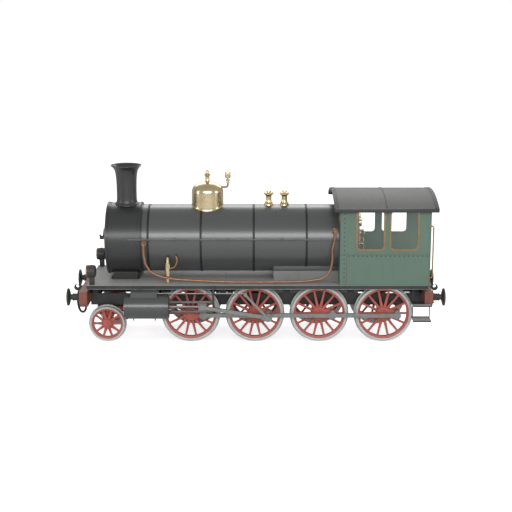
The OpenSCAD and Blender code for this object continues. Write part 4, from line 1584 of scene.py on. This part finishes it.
@dataclass(frozen=True)
class Chimney:
    """Flared chimney: the foot sits on the smokebox, the cap is rusty inside."""

    x: float = -2.825

    @staticmethod
    def seat(point: Vector) -> Vector:
        """Lets the foot follow the smokebox's curve and leaves the rest alone.

        Args:
            point: A point of the chimney.

        Returns:
            The point in its new place.
        """
        low, blend = seated(point, SMOKEBOX_R, 3.00, 0.16)
        z = point.z + blend * (low - BOILER_Z - SMOKEBOX_R)
        return Vector((point.x, point.y, max(z, low - 0.02)))

    def build(self) -> None:
        """Turns the chimney's outside, rusty lip and bore, and bolts its foot down."""
        shape = Shape(PALETTE.smoke)
        middle = at(self.x, 0, 0)
        skin = [(0.185, 2.90), (0.268, 2.925), (0.268, 2.936), (0.264, 2.941), (0.246, 2.948), (0.232, 2.962),
                (0.224, 2.985), (0.219, 3.020), (0.217, 3.08), (0.217, 3.25), (0.219, 3.37), (0.223, 3.46),
                (0.230, 3.54), (0.240, 3.61), (0.254, 3.66), (0.274, 3.70), (0.298, 3.731), (0.322, 3.754),
                (0.331, 3.763), (0.333, 3.770), (0.331, 3.777), (0.325, 3.780)]
        lip = [(0.325, 3.780), (0.306, 3.779), (0.296, 3.770)]
        bore = [(0.296, 3.770), (0.262, 3.728), (0.232, 3.690), (0.208, 3.640), (0.192, 3.58),
                (0.185, 3.50), (0.185, 2.90)]
        shape.lathe(skin, middle, 96, fit=self.seat)
        shape.use(PALETTE.rust).lathe(lip, middle, 96, fit=self.seat)
        shape.use(PALETTE.smoke).lathe(bore, middle, 96, fit=self.seat)
        bmesh.ops.remove_doubles(shape.bm, verts=shape.bm.verts, dist=0.0002)
        for k in range(16):
            a = 2 * math.pi * (k + 0.5) / 16
            foot = self.seat(Vector((self.x + 0.256 * math.cos(a), 0.256 * math.sin(a), 2.940)))
            shape.disc(0.010, 0.012, Matrix.Translation((foot.x, foot.y, foot.z - 0.004)), 0.003, 10)
        shape.finish("chimney_turned", "root", "chimney", angle=50)


@dataclass(frozen=True)
class Dome:
    """Brass steam dome with its flared skirt, its crown and the stem on top."""

    x: float = -1.060

    @staticmethod
    def seat(point: Vector) -> Vector:
        """Lets the skirt follow the boiler's curve and leaves the crown alone.

        Args:
            point: A point of the dome.

        Returns:
            The point in its new place.
        """
        low, blend = seated(point, BOILER_R, 3.02, 0.14)
        blend = blend * blend * (3 - 2 * blend)
        return Vector((point.x, point.y, point.z + blend * (low - BOILER_Z - BOILER_R)))

    def build(self) -> None:
        """Turns the dome."""
        shape = Shape(PALETTE.brass)
        skin = [(0.30, 2.862), (0.366, 2.872), (0.367, 2.886), (0.364, 2.892), (0.352, 2.900),
                (0.3465, 2.915),
                (0.345, 2.94), (0.345, 3.00), (0.345, 3.06), (0.345, 3.135), (0.344, 3.16)]
        crown = [(0.345 * math.cos(a) ** 0.80, 3.165 + 0.240 * math.sin(a) ** 0.84)
                 for a in (math.radians(4.0 * k) for k in range(1, 21))]
        stem = [(0.074, 3.405), (0.060, 3.412), (0.047, 3.430), (0.043, 3.500), (0.048, 3.535),
                (0.066, 3.552),
                (0.0725, 3.560), (0.0725, 3.572), (0.068, 3.577), (0.050, 3.590), (0.038, 3.600),
                (0.035, 3.630),
                (0.028, 3.650), (0.014, 3.662), (0, 3.665)]
        shape.lathe([*skin, *crown, *stem], at(self.x, 0, 0), 112, fit=self.seat)
        shape.finish("steam_dome_spun", "root", "steam_dome", angle=40)


@dataclass(frozen=True)
class BoilerMountings:
    """Whistle, safety valves, injectors, feed pipes and handrails."""

    whistle_z: float = 3.290
    valve_xs: tuple[float, float] = (0.277, 0.620)
    injector_y: float = 0.745
    rail_y: float = 0.80
    rail_z: float = 2.28
    pillar_xs: tuple[float, ...] = (-2.70, -1.75, -0.60, 0.55, 1.70)

    def build(self) -> None:
        """Builds each group of fittings."""
        self.whistle()
        self.valves()
        self.injectors()
        self.rails()
        for node in ("feed_pipes", "feed_elbows"):
            dress(node, PALETTE.copper)

    def whistle(self) -> None:
        """Copper branch, riser and turned bell."""
        z = self.whistle_z
        bend = arc(-0.665, z + 0.050, 0.050, -90, 0, 9)
        riser = [Vector((x, 0, height)) for x, height in ((-0.78, z), *bend, (-0.615, 3.40))]
        bell = [(0, 3.385), (0.030, 3.385), (0.032, 3.40), (0.026, 3.412), (0.026, 3.428), (0.046, 3.434),
                (0.048, 3.440), (0.048, 3.456), (0.044, 3.462), (0.018, 3.466), (0.018, 3.492),
                (0.052, 3.492),
                (0.058, 3.496), (0.060, 3.504), (0.060, 3.612), (0.055, 3.626), (0.030, 3.632),
                (0.014, 3.634),
                (0.014, 3.644), (0.010, 3.648), (0, 3.648)]
        shape = Shape(PALETTE.brass)
        shape.use(PALETTE.copper).tube(riser, 0.020, 18)
        shape.use(PALETTE.brass).disc(0.034, 0.020, at(-0.775, 0, z, Axis.X), 0.003, 6)
        shape.lathe(bell, at(-0.615, 0, 0), 40)
        shape.finish("whistle_turned", "root", "whistle")

    def valves(self) -> None:
        """Two turned safety valves with nutted collars."""
        shape = Shape(PALETTE.brass)
        column = [(0, 2.870), (0.100, 2.870), (0.100, 2.915), (0.094, 2.925), (0.078, 2.945), (0.066, 2.975),
                  (0.060, 3.020), (0.059, 3.070), (0.064, 3.100), (0.082, 3.122), (0.100, 3.134),
                  (0.105, 3.140), (0.105, 3.162), (0.100, 3.167), (0.062, 3.171), (0.050, 3.180),
                  (0.046, 3.205), (0.040, 3.214), (0.020, 3.2195), (0, 3.220)]
        for x in self.valve_xs:
            shape.lathe(column, at(x, 0, 0), 48)
            shape.ring_of(Repeat(6, 0.010, 0.012), 8, 0.084, at(x, 0, 2.946))
            shape.ring_of(Repeat(6, 0.012, 0.010), 6, 0.084, at(x, 0, 3.171))
        shape.finish("safety_valves_turned", "root", "safety_valves")

    def injectors(self) -> None:
        """Brass bodies with unions, steam cones and a copper branch each."""
        shape = Shape(PALETTE.brass)
        body = [(0, 1.311), (0.070, 1.311), (0.070, 1.326), (0.062, 1.333), (0.040, 1.337), (0.036, 1.36),
                (0.036, 1.44), (0.055, 1.462), (0.055, 1.75), (0.050, 1.765), (0.040, 1.775), (0.030, 1.80),
                (0.030, 1.885), (0.026, 1.889), (0, 1.889)]
        unions = ((1.385, 0.050), (1.462, 0.068), (1.60, 0.062), (1.735, 0.068), (1.815, 0.044))
        for side in SIDES:
            y = side * self.injector_y
            place = at(-1.90, y, 0)
            shape.use(PALETTE.brass).lathe(body, place, 40)
            for z, r in unions:
                shape.disc(r, 0.028, raised(place, z), 0.003, 6)
            shape.ring_of(Repeat(6, 0.009, 0.012), 4, 0.056, raised(place, 1.338))
            end_y = y - side * 0.012
            route = smooth_path([(-1.90, y, 1.640), (-1.84, y, 1.642), (-1.765, y, 1.665), (-1.720, y, 1.73),
                                 (-1.700, y, 1.80), (-1.705, y, 1.86), (-1.720, end_y, 1.90)], 6)
            shape.use(PALETTE.copper).tube(route, 0.019, 12)
            shape.disc(0.026, 0.024, at(-1.720, end_y, 1.885), 0.003, 6)
        shape.finish("injectors_turned", "root", "injectors")

    def rails(self) -> None:
        """Handrails with turned knobs on their pillars."""
        shape = Shape(PALETTE.iron)
        z = self.rail_z
        knob = [(0, -0.028), *arc(0, 0, 0.028, -88, 88, 8), (0, 0.028)]
        pillar = [(0, -0.01), (0.026, -0.01), (0.026, 0.022), (0.016, 0.030), (0.012, 0.07), (0, 0.07)]
        for side in SIDES:
            y = side * self.rail_y
            shape.bar((-2.74, y, z), (1.788, y, z), 0.0155, 18)
            for x in self.pillar_xs:
                shape.lathe(knob, at(x, y, z, Axis.Y, side), 20)
                shape.lathe(pillar, at(x, side * 0.716, z, Axis.Y, side), 20)
        shape.finish("handrails_drawn", "root", "handrails")


# ---------------------------------------------------------------- running board and cab


@dataclass(frozen=True)
class RunningBoard:
    """Deck plates and rivets of the running board, with a bright steel strip under each edge that paints the
    highlight of the valance's lower edge.
    """

    z: float = 1.310
    edge: float = 0.9685
    firebox_side: float = 0.545
    full_plates: tuple[tuple[float, float], ...] = (
        (-3.628, -2.640), (-2.637, -1.662), (-1.659, -0.662), (-0.659, 0.3785))
    side_plates: tuple[tuple[float, float], ...] = ((0.3815, 1.350), (1.353, 2.064), (2.067, 3.688))

    def build(self) -> None:
        """Dresses the board and lays its plates, painted-highlight strips and rivets."""
        dress("running_board", PALETTE.black)
        low, high = self.z - 0.0005, self.z + 0.003
        shape = Shape(PALETTE.board)
        for x0, x1 in self.full_plates:
            shape.box((x0, -self.edge, low), (x1, self.edge, high), 0.001)
        for side in SIDES:
            y0, y1 = across(side, self.firebox_side, self.edge)
            for x0, x1 in self.side_plates:
                shape.box((x0, y0, low), (x1, y1, high), 0.001)
        # Thin bright steel strip along the bottom of each valance: its colour is a painted highlight of the
        # valance's lower edge.
        shape.use(PALETTE.rod)
        for side in SIDES:
            y0, y1 = across(side, 0.9695, 0.973)
            shape.box((-3.628, y0, 1.2285), (3.688, y1, 1.239), 0.001)
        shape.use(PALETTE.black)
        for side in SIDES:
            y = side * 0.970
            shape.row_of(SMALL_RIVET, 72, (-3.56, y, 1.262), (3.62, y, 1.262), (0, side, 0))
        shape.finish("running_board_plates", "root")


@dataclass(frozen=True)
class Headlamps:
    """Two headlamps: foot, drum, cap and rim with its glass."""

    x: float = -3.525
    y: float = 0.860
    drum_x: float = -3.43
    drum_z: float = 1.605
    sides: int = 56

    def build(self) -> None:
        """Builds both lamps."""
        shape = Shape(PALETTE.black)
        body = [(0, 0.0), (0.070, 0.0), (0.118, 0.010), (0.132, 0.026), (0.1345, 0.040), (0.1345, 0.176),
                (0.131, 0.180), (0.108, 0.181), (0.104, 0.170), (0.060, 0.120), (0, 0.100)]
        rim = [(0.108, 0.180), (0.131, 0.178), (0.1345, 0.184), (0.1345, 0.202), (0.128, 0.2095),
               (0.112, 0.2095), (0.108, 0.204)]
        glass = [(0, 0.186), (0.1075, 0.186), (0.1075, 0.192), (0.06, 0.1965), (0, 0.198)]
        for side in SIDES:
            y = side * self.y
            drum = at(self.drum_x, y, self.drum_z, Axis.X, FRONT)
            shape.use(PALETTE.black).disc(0.060, 0.016, at(self.x, y, 1.311), 0.003, 28)
            shape.box((-3.580, y - 0.045, 1.320), (-3.470, y + 0.045, 1.498), 0.008)
            shape.box((-3.592, y - 0.058, 1.470), (-3.458, y + 0.058, 1.490), 0.004)
            shape.lathe(body, drum, self.sides)
            shape.ring(0.1335, 0.1348, 0.012, raised(drum, 0.09), 0.0005, self.sides)
            shape.disc(0.040, 0.020, at(self.x, y, 1.722), 0.004, 28)
            shape.use(PALETTE.dull_brass).lathe(rim, drum, self.sides, closed=True)
            shape.use(PALETTE.glass).lathe(glass, drum, 48)
        shape.finish("headlamps_turned", "root", "headlamps")


@dataclass(frozen=True)
class Cab:
    """Riveted cab sides, window frames, roof, floor and backhead fittings."""

    x0: float = 1.790
    x1: float = 3.720
    y: float = 0.950
    roof_top: float = 3.240
    roof_r: float = 2.961
    roof_half: float = 1.120

    def build(self) -> None:
        """Dresses the cab's plates and adds its rivets, beading and fittings."""
        for node, finish in (
                ("cab_sides", PALETTE.green), ("cab_front", PALETTE.green), ("cab_floor", PALETTE.wood),
                ("cab_window_frames", PALETTE.dull_brass), ("cab_glass", PALETTE.glass),
                ("cab_steps", PALETTE.black), ("backhead_fittings", PALETTE.brass),
                ("fire_door", PALETTE.black)):
            dress(node, finish)
        self.sides()
        self.grab_rails()
        self.roof()
        self.backhead()
        self.steps()

    def sides(self) -> None:
        """Rivet rows and beading of the cab sides."""
        shape = Shape(PALETTE.green)
        for side in SIDES:
            y = side * self.y
            out = (0, side, 0)
            shape.use(PALETTE.black)
            shape.row_of(CAB_RIVET, 16, (1.880, y, 1.395), (1.880, y, 2.865), out)
            shape.row_of(CAB_RIVET, 18, (1.980, y, 1.955), (3.650, y, 1.955), out)
            shape.use(PALETTE.green)
            shape.row_of(SMALL_RIVET, 16, (3.690, y, 1.395), (3.690, y, 2.865), out)
            shape.row_of(SMALL_RIVET, 18, (1.980, y, 2.045), (3.650, y, 2.045), out)
            shape.row_of(SMALL_RIVET, 18, (1.980, y, 1.345), (3.650, y, 1.345), out)
            y0, y1 = across(side, self.y - 0.001, self.y + 0.005)
            shape.box((1.812, y0, 1.985), (self.x1 - 0.017, y1, 2.008), 0.002)
            y0, y1 = across(side, self.y - 0.001, self.y + 0.004)
            shape.box((self.x0, y0, 1.311), (self.x0 + 0.018, y1, 2.93), 0.001)
            shape.box((self.x1 - 0.016, y0, 1.311), (self.x1, y1, 2.93), 0.001)
        shape.finish("cab_side_rivets", "root")
        seams = Shape(PALETTE.black)
        for side in SIDES:
            y0, y1 = across(side, self.y - 0.001, self.y + 0.0012)
            seams.box((1.812, y0, 1.980), (self.x1 - 0.017, y1, 1.985), 0.0004)
            seams.box((1.932, y0, 1.312), (1.936, y1, 1.980), 0.0004)
        seams.finish("cab_side_seams", "root")

    def roof(self) -> None:
        """Curved roof sheet with lapped edge strips, a middle rib and dark gutter boards."""
        shape = Shape(PALETTE.roof)
        r = self.roof_r
        sheet = [(r - 0.040, 0.001), (r - 0.001, 0.001), (r, 0.003), (r, 2.197), (r - 0.001, 2.199),
                 (r - 0.040, 2.199)]
        self.sweep(shape, 1.650, sheet)
        shape.use(PALETTE.roof_edge)
        for x, width in ((1.652, 0.085), (2.735, 0.030), (3.763, 0.085)):
            strip = [(r - 0.003, 0.0), (r + 0.004, 0.0), (r + 0.006, 0.002), (r + 0.006, width - 0.002),
                     (r + 0.004, width), (r - 0.003, width)]
            self.sweep(shape, x, strip)
            for dx in (0.018, width - 0.018) if width > 0.05 else (width / 2,):
                for k in range(-9, 10):
                    turn = Matrix.Rotation(-math.radians(self.roof_span * k / 9.4), 4, "X")
                    foot = Matrix.Translation((x + dx, 0, self.roof_centre)) @ turn
                    shape.disc(0.009, 0.004, raised(foot, r + 0.005), 0.002, 8)
        shape.use(PALETTE.smoke)
        for side in SIDES:
            y0, y1 = across(side, 1.116, 1.142)
            shape.box((1.650, y0, 2.935), (3.850, y1, 3.020), 0.005)
        shape.finish("cab_roof_sheet", "root", "cab_roof", angle=30)

    @property
    def roof_centre(self) -> float:
        """Height of the roof's centre of curvature."""
        return self.roof_top - self.roof_r

    @property
    def roof_span(self) -> float:
        """Half of the angle that the roof covers, in degrees."""
        return math.degrees(math.asin(self.roof_half / self.roof_r))

    def grab_rails(self) -> None:
        """Bent grab rails behind the cab, with their flanged feet."""
        shape = Shape(PALETTE.dull_brass)
        for side in SIDES:
            y = side * 0.940
            bends = (*arc(3.715, 2.565, 0.050, 90, 0, 6), *arc(3.715, 1.535, 0.050, 0, -90, 6))
            line = [(3.695, 2.615), *bends, (3.695, 1.485)]
            shape.tube([Vector((x, y + side * 0.025, z)) for x, z in line], 0.016, 14)
            for z in (2.615, 1.485):
                shape.disc(0.030, 0.012, at(3.688, side * 0.949, z, Axis.Y, side), 0.002, 20)
                shape.disc(0.018, 0.030, at(3.690, side * 0.949, z, Axis.Y, side), 0.003, 20)
        shape.finish("cab_grab_rails_bent", "root", "cab_grab_rails")

    def sweep(self, shape: Shape, x: float, profile: Profile) -> None:
        """Sweeps a strip's section over the curved roof.

        Args:
            shape: Shape that takes the strip.
            x: Front edge of the strip.
            profile: Section, as radius and distance along X.
        """
        steps = 36
        new = shape.bm.faces.new
        rings = []
        for k in range(steps + 1):
            a = math.radians(-self.roof_span + 2 * self.roof_span * k / steps)
            rings.append([shape.bm.verts.new((x + dx, r * math.sin(a), self.roof_centre + r * math.cos(a)))
                          for r, dx in profile])
        count = len(profile)
        for low, high in zip(rings, rings[1:]):
            for i in range(count):
                n = (i + 1) % count
                new((low[i], low[n], high[n], high[i])).material_index = shape.index
        for ring in (rings[0], rings[-1]):
            new(ring).material_index = shape.index

    def backhead(self) -> None:
        """Dials, water gauges, hand wheels and the rivets of the boiler's back plate."""
        shape = Shape(PALETTE.brass)
        for y, z, r in ((-0.26, 2.56, 0.09), (0, 2.60, 0.11), (0.26, 2.56, 0.09)):
            self.dial(shape, y, z, r)
        for side in SIDES:
            self.gauge(shape, side * 0.42)
        for side in SIDES:
            self.hand_wheel(shape, side * 0.16, 2.22)
        shape.use(PALETTE.black)
        shape.ring_of(RIVET, 40, 0.640, at(2.2299, 0, 2.145, Axis.X))
        shape.finish("backhead_dials", "root")

    @staticmethod
    def dial(shape: Shape, y: float, z: float, r: float) -> None:
        """A blank dial with its rim and its hand.

        Args:
            shape: Shape that takes it.
            y: Place across the cab.
            z: Height.
            r: Radius.
        """
        place = at(2.2895, y, z, Axis.X)
        shape.use(PALETTE.brass).ring(r - 0.012, r - 0.001, 0.008, place, 0.002, 48)
        shape.use(PALETTE.board).disc(r - 0.0125, 0.002, place, 0.0005, 48)
        shape.use(PALETTE.black).box((2.2912, y - 0.003, z - 0.01), (2.2925, y + 0.003, z + r * 0.66), 0.0005)

    @staticmethod
    def gauge(shape: Shape, y: float) -> None:
        """A water gauge: a glass tube between two nuts.

        Args:
            shape: Shape that takes it.
            y: Place across the cab.
        """
        shape.use(PALETTE.brass)
        for z in (2.10, 2.36):
            shape.disc(0.024, 0.048, at(2.228, y, z, Axis.X), 0.003, 6)
        shape.use(PALETTE.glass).bar((2.262, y, 2.11), (2.262, y, 2.35), 0.009, 16)

    @staticmethod
    def hand_wheel(shape: Shape, y: float, z: float) -> None:
        """A red hand wheel with four cross bars, on a brass spindle.

        Args:
            shape: Shape that takes it.
            y: Place across the cab.
            z: Height.
        """
        place = at(2.228, y, z, Axis.X)
        wheel_r = 0.058
        rim = [(wheel_r + 0.008 * math.cos(a), 0.074 + 0.008 * math.sin(a))
               for a in (2 * math.pi * k / 10 for k in range(10))]
        shape.use(PALETTE.brass).disc(0.014, 0.080, place, 0.003, 16)
        shape.use(PALETTE.red).lathe(rim, place, 40, closed=True)
        for k in range(4):
            dy = wheel_r * math.cos(math.pi * k / 4)
            dz = wheel_r * math.sin(math.pi * k / 4)
            shape.bar((2.302, y - dy, z - dz), (2.302, y + dy, z + dz), 0.005, 8)

    def steps(self) -> None:
        """Raised treads on the steps."""
        shape = Shape(PALETTE.tread)
        for side in SIDES:
            for z, y0, y1 in ((0.935, 1.095, 1.197), (0.602, 0.87, 1.197)):
                a, b = across(side, y0, y1)
                shape.box((3.354, a, z - 0.001), (3.737, b, z + 0.002), 0.001)
                for k in range(9):
                    x = 3.374 + 0.040 * k
                    shape.box((x, a + 0.01, z), (x + 0.014, b - 0.01, z + 0.005), 0.001)
        shape.finish("step_treads", "root")


# ---------------------------------------------------------------- studio


@dataclass(frozen=True)
class Lamp:
    """One area light."""

    name: str
    place: Colour
    target: Colour
    size: tuple[float, float]
    watts: float

    def build(self) -> None:
        """Places the light and turns it to its target."""
        data = bpy.data.lights.new(self.name, "AREA")
        data.shape = "RECTANGLE"
        data.size, data.size_y = self.size
        data.energy = self.watts
        lamp = in_scene(self.name, data)
        lamp.location = self.place
        aim = Vector(self.target) - Vector(self.place)
        lamp.rotation_euler = aim.to_track_quat("-Z", "Y").to_euler()


@dataclass(frozen=True)
class Studio:
    """White surroundings, a floor that keeps the engine's shadow, lights and camera."""

    floor_size: float = 80.0
    floor_glow: float = 0.72
    ambient: float = 0.45
    lamps: tuple[Lamp, ...] = (
        Lamp("broad_side", (0.0, -24.0, 10.6), (0.0, 0.0, 2.0), (24.0, 4.6), 2750.0),
        Lamp("behind", (0.0, 10.0, 9.0), (0.0, 0.0, 2.4), (16.0, 5.0), 600.0),
        Lamp("left_strip", (-20.0, -6.5, 6.0), (-1.0, 0.0, 2.5), (1.6, 7.0), 420.0),
        Lamp("right_strip", (18.0, -7.0, 6.0), (-1.0, 0.0, 2.5), (1.6, 7.0), 420.0),
        Lamp("cab_inside", (2.75, 0.0, 3.1), (2.75, 0.0, 1.5), (1.2, 1.0), 4.5),
    )

    def build(self) -> None:
        """Builds the surroundings."""
        self.world()
        self.floor()
        for lamp in self.lamps:
            lamp.build()
        self.camera()

    def world(self) -> None:
        """White where it is seen straight on or through glass, dimmer where it lights or is mirrored."""
        world = bpy.data.worlds.new("studio")
        bpy.context.scene.world = world
        world.use_nodes = True
        tree = world.node_tree
        shown = preset(tree.nodes["Background"], {"Color": (1, 1, 1), "Strength": 1.0})
        lit = preset(tree.nodes.new("ShaderNodeBackground"), {"Color": (1, 1, 1), "Strength": self.ambient})
        rays = tree.nodes.new("ShaderNodeLightPath")
        some = tree.nodes.new("ShaderNodeMath")
        some.operation = "MAXIMUM"
        blend = tree.nodes.new("ShaderNodeMixShader")
        wire(
            tree,
            (rays.outputs["Is Camera Ray"], some.inputs[0]),
            (rays.outputs["Is Transmission Ray"], some.inputs[1]),
            (some.outputs[0], blend.inputs["Fac"]),
            (lit.outputs[0], blend.inputs[1]),
            (shown.outputs[0], blend.inputs[2]),
            (blend.outputs[0], tree.nodes["World Output"].inputs["Surface"]),
        )

    def floor(self) -> None:
        """White floor under the wheels; it glows to the camera so that only the shadow shows."""
        part = bmesh.new()
        half = self.floor_size / 2
        corners = ((-half, -half), (half, -half), (half, half), (-half, half))
        part.faces.new([part.verts.new((x, y, -0.0005)) for x, y in corners])
        mesh = as_mesh(part, "floor")
        floor = in_scene("floor", mesh)
        material = bpy.data.materials.new("floor_white")
        material.use_nodes = True
        tree = material.node_tree
        shader = preset(tree.nodes["Principled BSDF"], {
            "Base Color": (0.9, 0.9, 0.9), "Roughness": 0.9, "Specular IOR Level": 0.0})
        glow = tree.nodes.new("ShaderNodeEmission")
        rays = tree.nodes.new("ShaderNodeLightPath")
        seen = tree.nodes.new("ShaderNodeMath")
        seen.operation = "MULTIPLY"
        seen.inputs[1].default_value = self.floor_glow
        both = tree.nodes.new("ShaderNodeAddShader")
        wire(
            tree,
            (rays.outputs["Is Camera Ray"], seen.inputs[0]),
            (seen.outputs[0], glow.inputs["Strength"]),
            (shader.outputs[0], both.inputs[0]),
            (glow.outputs[0], both.inputs[1]),
            (both.outputs[0], tree.nodes["Material Output"].inputs["Surface"]),
        )
        mesh.materials.append(material)
        floor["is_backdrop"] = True

    @staticmethod
    def camera() -> None:
        """Long lens, square on to the engine's left side and a little above it."""
        data = bpy.data.cameras.new("camera")
        data.lens = 82.3
        data.sensor_width = 36
        data.clip_end = 200
        camera = in_scene("camera", data)
        camera.location = (0, -25.26, 7.493)
        camera.rotation_euler = (math.radians(77.18), 0, 0)
        bpy.context.scene.camera = camera
        view = bpy.context.scene.view_settings
        view.view_transform = "Standard"
        view.look = "None"


def plain_nodes() -> None:
    """Dresses the CAD nodes that are shown as they are."""
    for node, finish in (
            ("main_frame", PALETTE.black), ("axle_boxes", PALETTE.black), ("cylinders", PALETTE.cylinder),
            ("valve_rods", PALETTE.rod), ("pony_truck_frame", PALETTE.red)):
        dress(node, finish)


def main() -> None:
    """Builds the whole engine in order, then its surroundings."""
    logging.basicConfig(level=logging.INFO, format="%(name)s: %(message)s")
    plain_nodes()
    Wheelset("leading_axle", -3.230, 0.413, ("leading_wheelset",), ("leading_tyres",), tread=0.385,
             tyre=0.048, spokes=10, hub=0.105, axle=0.065, rim=0.042).build()
    for number, x in enumerate(COUPLED_XS, start=1):
        Wheelset(f"driving_axle_{number}", x, COUPLED_Z, (f"driving_wheelset_{number}",),
                 (f"driving_tyres_{number}",), tread=0.615, tyre=0.062, spokes=14, hub=0.150, axle=0.085,
                 crank=CRANK, main=number == MAIN_AXLE).build()
    for side in SIDES:
        SideRods(side).build()
        Cylinder(side).build()
    Cylinder.slide_bars()
    for end in ENDS:
        BufferBeam(end).build()
        BrakeHose(end).build()
    Boiler().build()
    Smokebox().build()
    Chimney().build()
    Dome().build()
    BoilerMountings().build()
    RunningBoard().build()
    Headlamps().build()
    Cab().build()
    Studio().build()
    {"cad": plain(CAD_BOUNDS), "visual": plain(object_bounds())}


def plain(value: object) -> object:
    """Turns vectors and tuples into plain lists of numbers.

    Args:
        value: A number, a text, or a collection of them.

    Returns:
        The same value in a form that JSON takes.
    """
    if isinstance(value, (int, float, str)):
        return value
    if isinstance(value, dict):
        return {key: plain(item) for key, item in value.items()}
    return [plain(item) for item in value]


if __name__ == "__main__":
    main()
